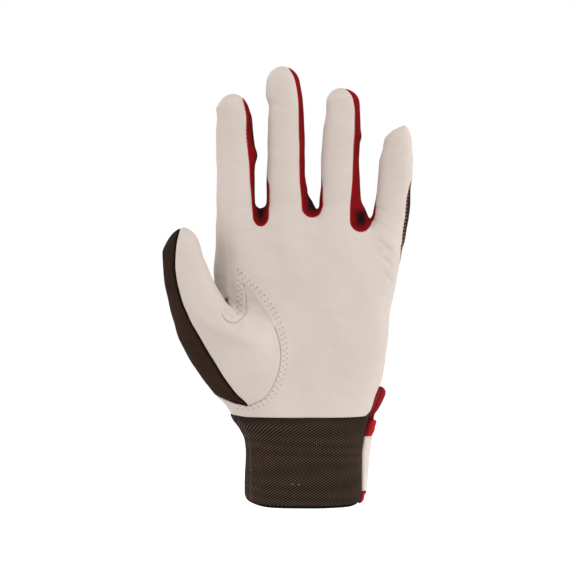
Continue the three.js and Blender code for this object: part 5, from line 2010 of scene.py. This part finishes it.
@dataclass
class Strap:
    """The white strap round the back of the cuff, and the red tape that binds its edges.

    It lies between two angles round the cuff. A bend radius turns angles into lengths.
    """

    form: CuffForm
    start: float = -0.1
    end: float = 2.3
    low: float = 7.9
    high: float = 38.6
    tape_low: float = 0.6
    tape_high: float = 47.4
    tape_end: float = 2.5
    seat: float = 0.55
    wall: float = 1.8
    tape_extra: float = 0.7
    least_tape: float = 0.9
    stand_off: Table = field(default_factory=lambda: Table(
        "z gap", (0, 0), (8, 0.5), (21, 1.7), (32, 2.4), (43, 2.2),
    ))
    tape_out: Table = field(default_factory=lambda: Table(
        "z out",
        (0.6, 0.4), (1.4, 0.9), (2.8, 1.35), (5.2, 1.6), (6.4, 2.3), (7.9, 3),
        (38.6, 4.4), (40, 4.6), (41.9, 5.1), (44, 4.9), (47.4, 4.7),
    ))
    side: tuple[float, float] = (0.3, 1.5)
    bend: float = 33.0
    edge: float = 0.9
    cord: tuple[float, float] = (0.06, 1.6)
    tape_rib: tuple[float, float] = (0.07, 1.3)
    columns: int = 150

    def seat_at(self, angle: Array, z: Array) -> Array:
        """How far the strap's inner face stands off the cuff."""
        off = self.seat + self.stand_off("gap", z) * (1 - ramp(angle, *self.side))
        return off * ramp(angle, self.start, self.start + 0.1)

    def build(self) -> None:
        """Builds the strap and its tape."""
        angle = np.linspace(self.start, self.end, self.columns)[None, :]
        z = np.linspace(self.low - 0.2, self.high + 0.2, 78)[:, None]
        fold = 0.22 * np.sin(angle * 9 + z * 0.05) * np.exp(-((angle - 0.25) / 0.5) ** 2)
        cord = self.cord[0] * np.sin(z * math.tau / self.cord[1]) + fold
        drop = self.edge * rounding((angle - self.start) * self.bend, self.edge)
        seat = self.seat_at(angle, z)
        outer = self.form.point(angle, z, seat + self.wall + cord - drop)
        points, faces, _ = grid_shell(outer, self.form.point(angle, z, seat))
        finish = WebbingFinish(
            "white webbing", (226, 213, 206), (233, 221, 214), (186, 168, 160), gap_share=0.3,
        )
        marks = {"edge": np.zeros(len(points))}
        made = make_object("wrist_strap_webbing", points, faces, finish.material(), marks)
        settle(made, Slot.STRAP, "wrist_strap")
        self.build_tape()

    def build_tape(self) -> None:
        """The tape runs along the foot, round the far end and back along the top."""
        foot = np.linspace(self.tape_low, self.low, 19)
        middle = np.linspace(self.low, self.high, 60)[1:-1]
        top = np.linspace(self.high, self.tape_high, 22)
        z = np.concatenate([foot, middle, top])[:, None]
        run = np.linspace(self.start, self.end, self.columns)
        last = np.linspace(self.end, self.tape_end, 14)[1:]
        angle = np.concatenate([run, last])[None, :]
        solid = np.zeros((z.shape[0] - 1, angle.shape[1] - 1), bool)
        solid[: len(foot) - 1] = True
        solid[-(len(top) - 1):] = True
        solid[:, self.columns - 1:] = True
        arc = (angle - self.start) * self.bend
        past, left = (angle - self.end) * self.bend, (self.tape_end - angle) * self.bend
        inner_gap = np.maximum(np.maximum(self.low - z, z - self.high), past)
        outer_gap = np.minimum(np.minimum(z - self.tape_low, self.tape_high - z),
                               np.minimum(arc, left))
        gap = np.maximum(np.minimum(inner_gap, outer_gap), 0)
        ribs = self.tape_rib[0] * np.sin(arc * math.tau / self.tape_rib[1])
        drop = self.edge * rounding(gap, self.edge)
        far = self.seat + self.wall + self.tape_extra
        face = mix(self.tape_out("out", z), far, ramp(angle, *self.side))
        under = np.minimum(self.seat_at(angle, z) - 0.1, face - self.least_tape)
        outer = self.form.point(angle, z, face + ribs - drop)
        points, faces, used = grid_shell(outer, self.form.point(angle, z, under), solid)
        # Painted highlight along the tape's rolled edges.
        edge = np.clip(1 - gap / self.edge, 0, 1) * 0.5
        finish = WebbingFinish("red tape", (176, 26, 33), (198, 40, 46), (104, 12, 18))
        marks = {"edge": np.concatenate([edge.ravel(), np.zeros(edge.size)])[used]}
        made = make_object("strap_binding_tape", points, faces, finish.material(), marks)
        settle(made, Slot.TAPE, "strap_binding")


@dataclass
class PullTab:
    """The red tab: a tape folded over at the top, its two layers lying on each other."""

    left: Places = (
        (36.9, 46.9), (36.9, 50.6), (37.2, 53.3), (38.3, 57.7), (40.3, 62.2), (41.8, 64.8),
        (43.7, 66.2),
    )
    right: Places = (
        (39.7, 46.9), (40.4, 50.6), (42.3, 53.3), (44.7, 57.7), (46.5, 62.2), (45.9, 65.0),
        (43.7, 66.2),
    )
    depth: float = 9.0
    y: float = 6.0
    rib: float = 1.1
    rib_rise: float = 0.06
    edge: float = 0.7
    slit: float = 0.02
    steps: int = 60
    columns: int = 21

    def build(self) -> None:
        """Builds the folded tape and its finish."""
        one, other = spline(self.left, self.steps), spline(self.right, self.steps)
        path = np.vstack([one, other[-2::-1]])
        middle = (one + other) / 2
        axis = np.vstack([middle, middle[-2::-1]])
        way = unit(np.gradient(path, axis=0))
        out = np.stack([-way[:, 1], way[:, 0]], axis=1)
        across = np.linspace(-1, 1, self.columns)
        drop = self.edge * rounding((1 - np.abs(across)) * self.depth / 2, self.edge)
        ribs = self.rib_rise * np.sin(lengths(path) * math.tau / self.rib)[:, None]
        y = np.broadcast_to(self.y + across * self.depth / 2, (len(path), len(across)))
        faces = []
        for line, reach in ((path, ribs - drop), (axis, self.slit + 0.2 * drop)):
            at = line[:, None, :] + out[:, None, :] * (reach + 0 * ribs)[..., None]
            faces.append(np.stack([at[..., 0], y, at[..., 1]], axis=-1))
        points, quads, _ = grid_shell(*faces)
        finish = WebbingFinish("red tab tape", (142, 26, 30), (158, 36, 40), (98, 12, 16))
        # Painted light on the inner layer, a little lighter toward the slit between the two layers.
        shade = np.concatenate([np.zeros(y.size), np.full(y.size, 0.2)])
        made = make_object("pull_tab_fold", points, quads, finish.material(), {"edge": shade})
        settle(made, Slot.TAPE, "pull_tab")


@dataclass(frozen=True)
class Lamp:
    """A soft square light."""

    name: str
    place: tuple[float, float, float]
    size: float
    power: float

    def build(self, aim: Vector) -> None:
        """Hangs the light up, facing a place."""
        data = bpy.data.lights.new(self.name, "AREA")
        data.size = self.size
        data.energy = self.power
        light = bpy.data.objects.new(self.name, data)
        light.location = self.place
        light.rotation_euler = (aim - Vector(self.place)).to_track_quat("-Z", "Y").to_euler()
        bpy.context.scene.collection.objects.link(light)


@dataclass
class Studio:
    """Camera, soft light and a pale floor."""

    LAMPS: ClassVar[tuple[Lamp, ...]] = (
        Lamp("right", (1.1, -0.25, 0.15), 0.6, 4.8),
        Lamp("top", (0.2, -0.7, 1.5), 0.8, 8.0),
        Lamp("left", (-1.0, -0.6, 0.4), 0.8, 3.0),
        Lamp("back_left", (-0.9, 0.6, 0.7), 0.8, 2.0),
        Lamp("back_right", (0.9, 0.6, 0.7), 0.8, 2.5),
    )
    aim: tuple[float, float, float] = (0.0, 0.0, 0.12)
    room_light: float = 0.62
    room_shown: float = 1.0
    distance: float = 1.0
    centre: tuple[float, float] = (-0.0087, 0.122)
    frame_width: float = 0.32504
    sensor: float = 36.0
    floor_drop: float = 0.08
    floor_radius: float = 4.0
    floor_sides: int = 64

    def build(self) -> None:
        """Sets up the view, the light and the floor."""
        scene = bpy.context.scene
        scene.view_settings.view_transform = "Standard"
        self.add_camera(scene)
        self.add_world(scene)
        self.add_floor()
        for lamp in self.LAMPS:
            lamp.build(Vector(self.aim))

    def add_camera(self, scene: Scene) -> None:
        """A level camera before the palm."""
        data = bpy.data.cameras.new("camera")
        data.sensor_width = self.sensor
        data.lens = self.sensor * self.distance / self.frame_width
        camera = bpy.data.objects.new("camera", data)
        camera.location = (self.centre[0], -self.distance, self.centre[1])
        camera.rotation_euler = (math.radians(90), 0, 0)
        scene.collection.objects.link(camera)
        scene.camera = camera

    def add_world(self, scene: Scene) -> None:
        """A white room that lights the glove a little less than it shows."""
        world = bpy.data.worlds.new("studio")
        world.use_nodes = True
        tree = Tree(world.node_tree)
        back = world.node_tree.nodes["Background"]
        seen = tree.add("ShaderNodeLightPath").outputs["Is Camera Ray"]
        strength = tree.blend(seen, self.room_light, self.room_shown)
        tree.fill(back, Strength=strength, Color=(255, 255, 255))
        scene.world = world

    def add_floor(self) -> None:
        """A wide pale floor below the glove."""
        i = np.arange(self.floor_sides)
        angle = i * math.tau / self.floor_sides
        rim = np.stack([np.cos(angle), np.sin(angle), 0 * angle], axis=1) * self.floor_radius
        points = (np.vstack([rim, np.zeros(3)]) - (0, 0, self.floor_drop)) / MM
        faces = np.stack([i, np.roll(i, -1), np.full(len(i), len(i))], axis=1)
        floor = make_object("floor", points, faces, FloorFinish().material())


BORDER_STEP = 0.8
NEAR_SEAM, BY_SEAM = 1.8, 0.62
NEAR_STITCH, BY_STITCH = 1.1, 0.42
NEAR_FOLD, BY_FOLD = 1.4, 0.5
NARROW_FOLD, FOLD_STEPS = 0.7, 12


def longest_near(form: GloveForm, relief: Relief, panels: list[Panel]) -> Callable:
    """Gives how long the net's edges may be: short by seams and stitch holes.

    Args:
        form: The glove's form.
        relief: The stitch holes.
        panels: Panels already cut, whose edges are the seams.

    Returns:
        A function from many places to their limits.
    """
    seams = tree_of(np.vstack([panel.border(BORDER_STEP) for panel in panels]))
    stitches = tree_of(form.on_front(relief.holes))
    narrow = [crease for crease in relief.CREASES if crease.width < NARROW_FOLD]
    folds = tree_of(in_plane(np.vstack([spline(crease.points, FOLD_STEPS) for crease in narrow])))

    def longest(points: Array) -> Array:
        """The limit at each place."""
        limit = np.full(len(points), np.inf)
        limit[to_nearest(seams, points) < NEAR_SEAM] = BY_SEAM
        limit[to_nearest(stitches, points) < NEAR_STITCH] = BY_STITCH
        gap = to_nearest(folds, in_plane(points[:, [0, 2]]))
        limit[(gap < NEAR_FOLD) & (points[:, 1] < 0)] = BY_FOLD
        return limit

    return longest


def main() -> None:
    """Builds the glove, piece by piece, and its studio."""
    logging.basicConfig(level=logging.INFO, format="%(message)s")
    Studio().build()
    form = GloveForm()
    relief = Relief(form)
    net = SurfaceNet(form)
    panels = panels_of(form)
    for panel in panels:
        panel.cut(net)
    net.refine(longest_near(form, relief, panels), rounds=2)
    for panel in panels:
        panel.cut(net)
        panel.build(form, relief)
    stitching = Stitching(form, relief)
    stitching.build_rows()
    stitching.build_seams(panels[0])
    cuff_form = CuffForm()
    Cuff(cuff_form, form).build()
    Strap(cuff_form).build()
    PullTab().build()


if __name__ == "__main__":
    main()
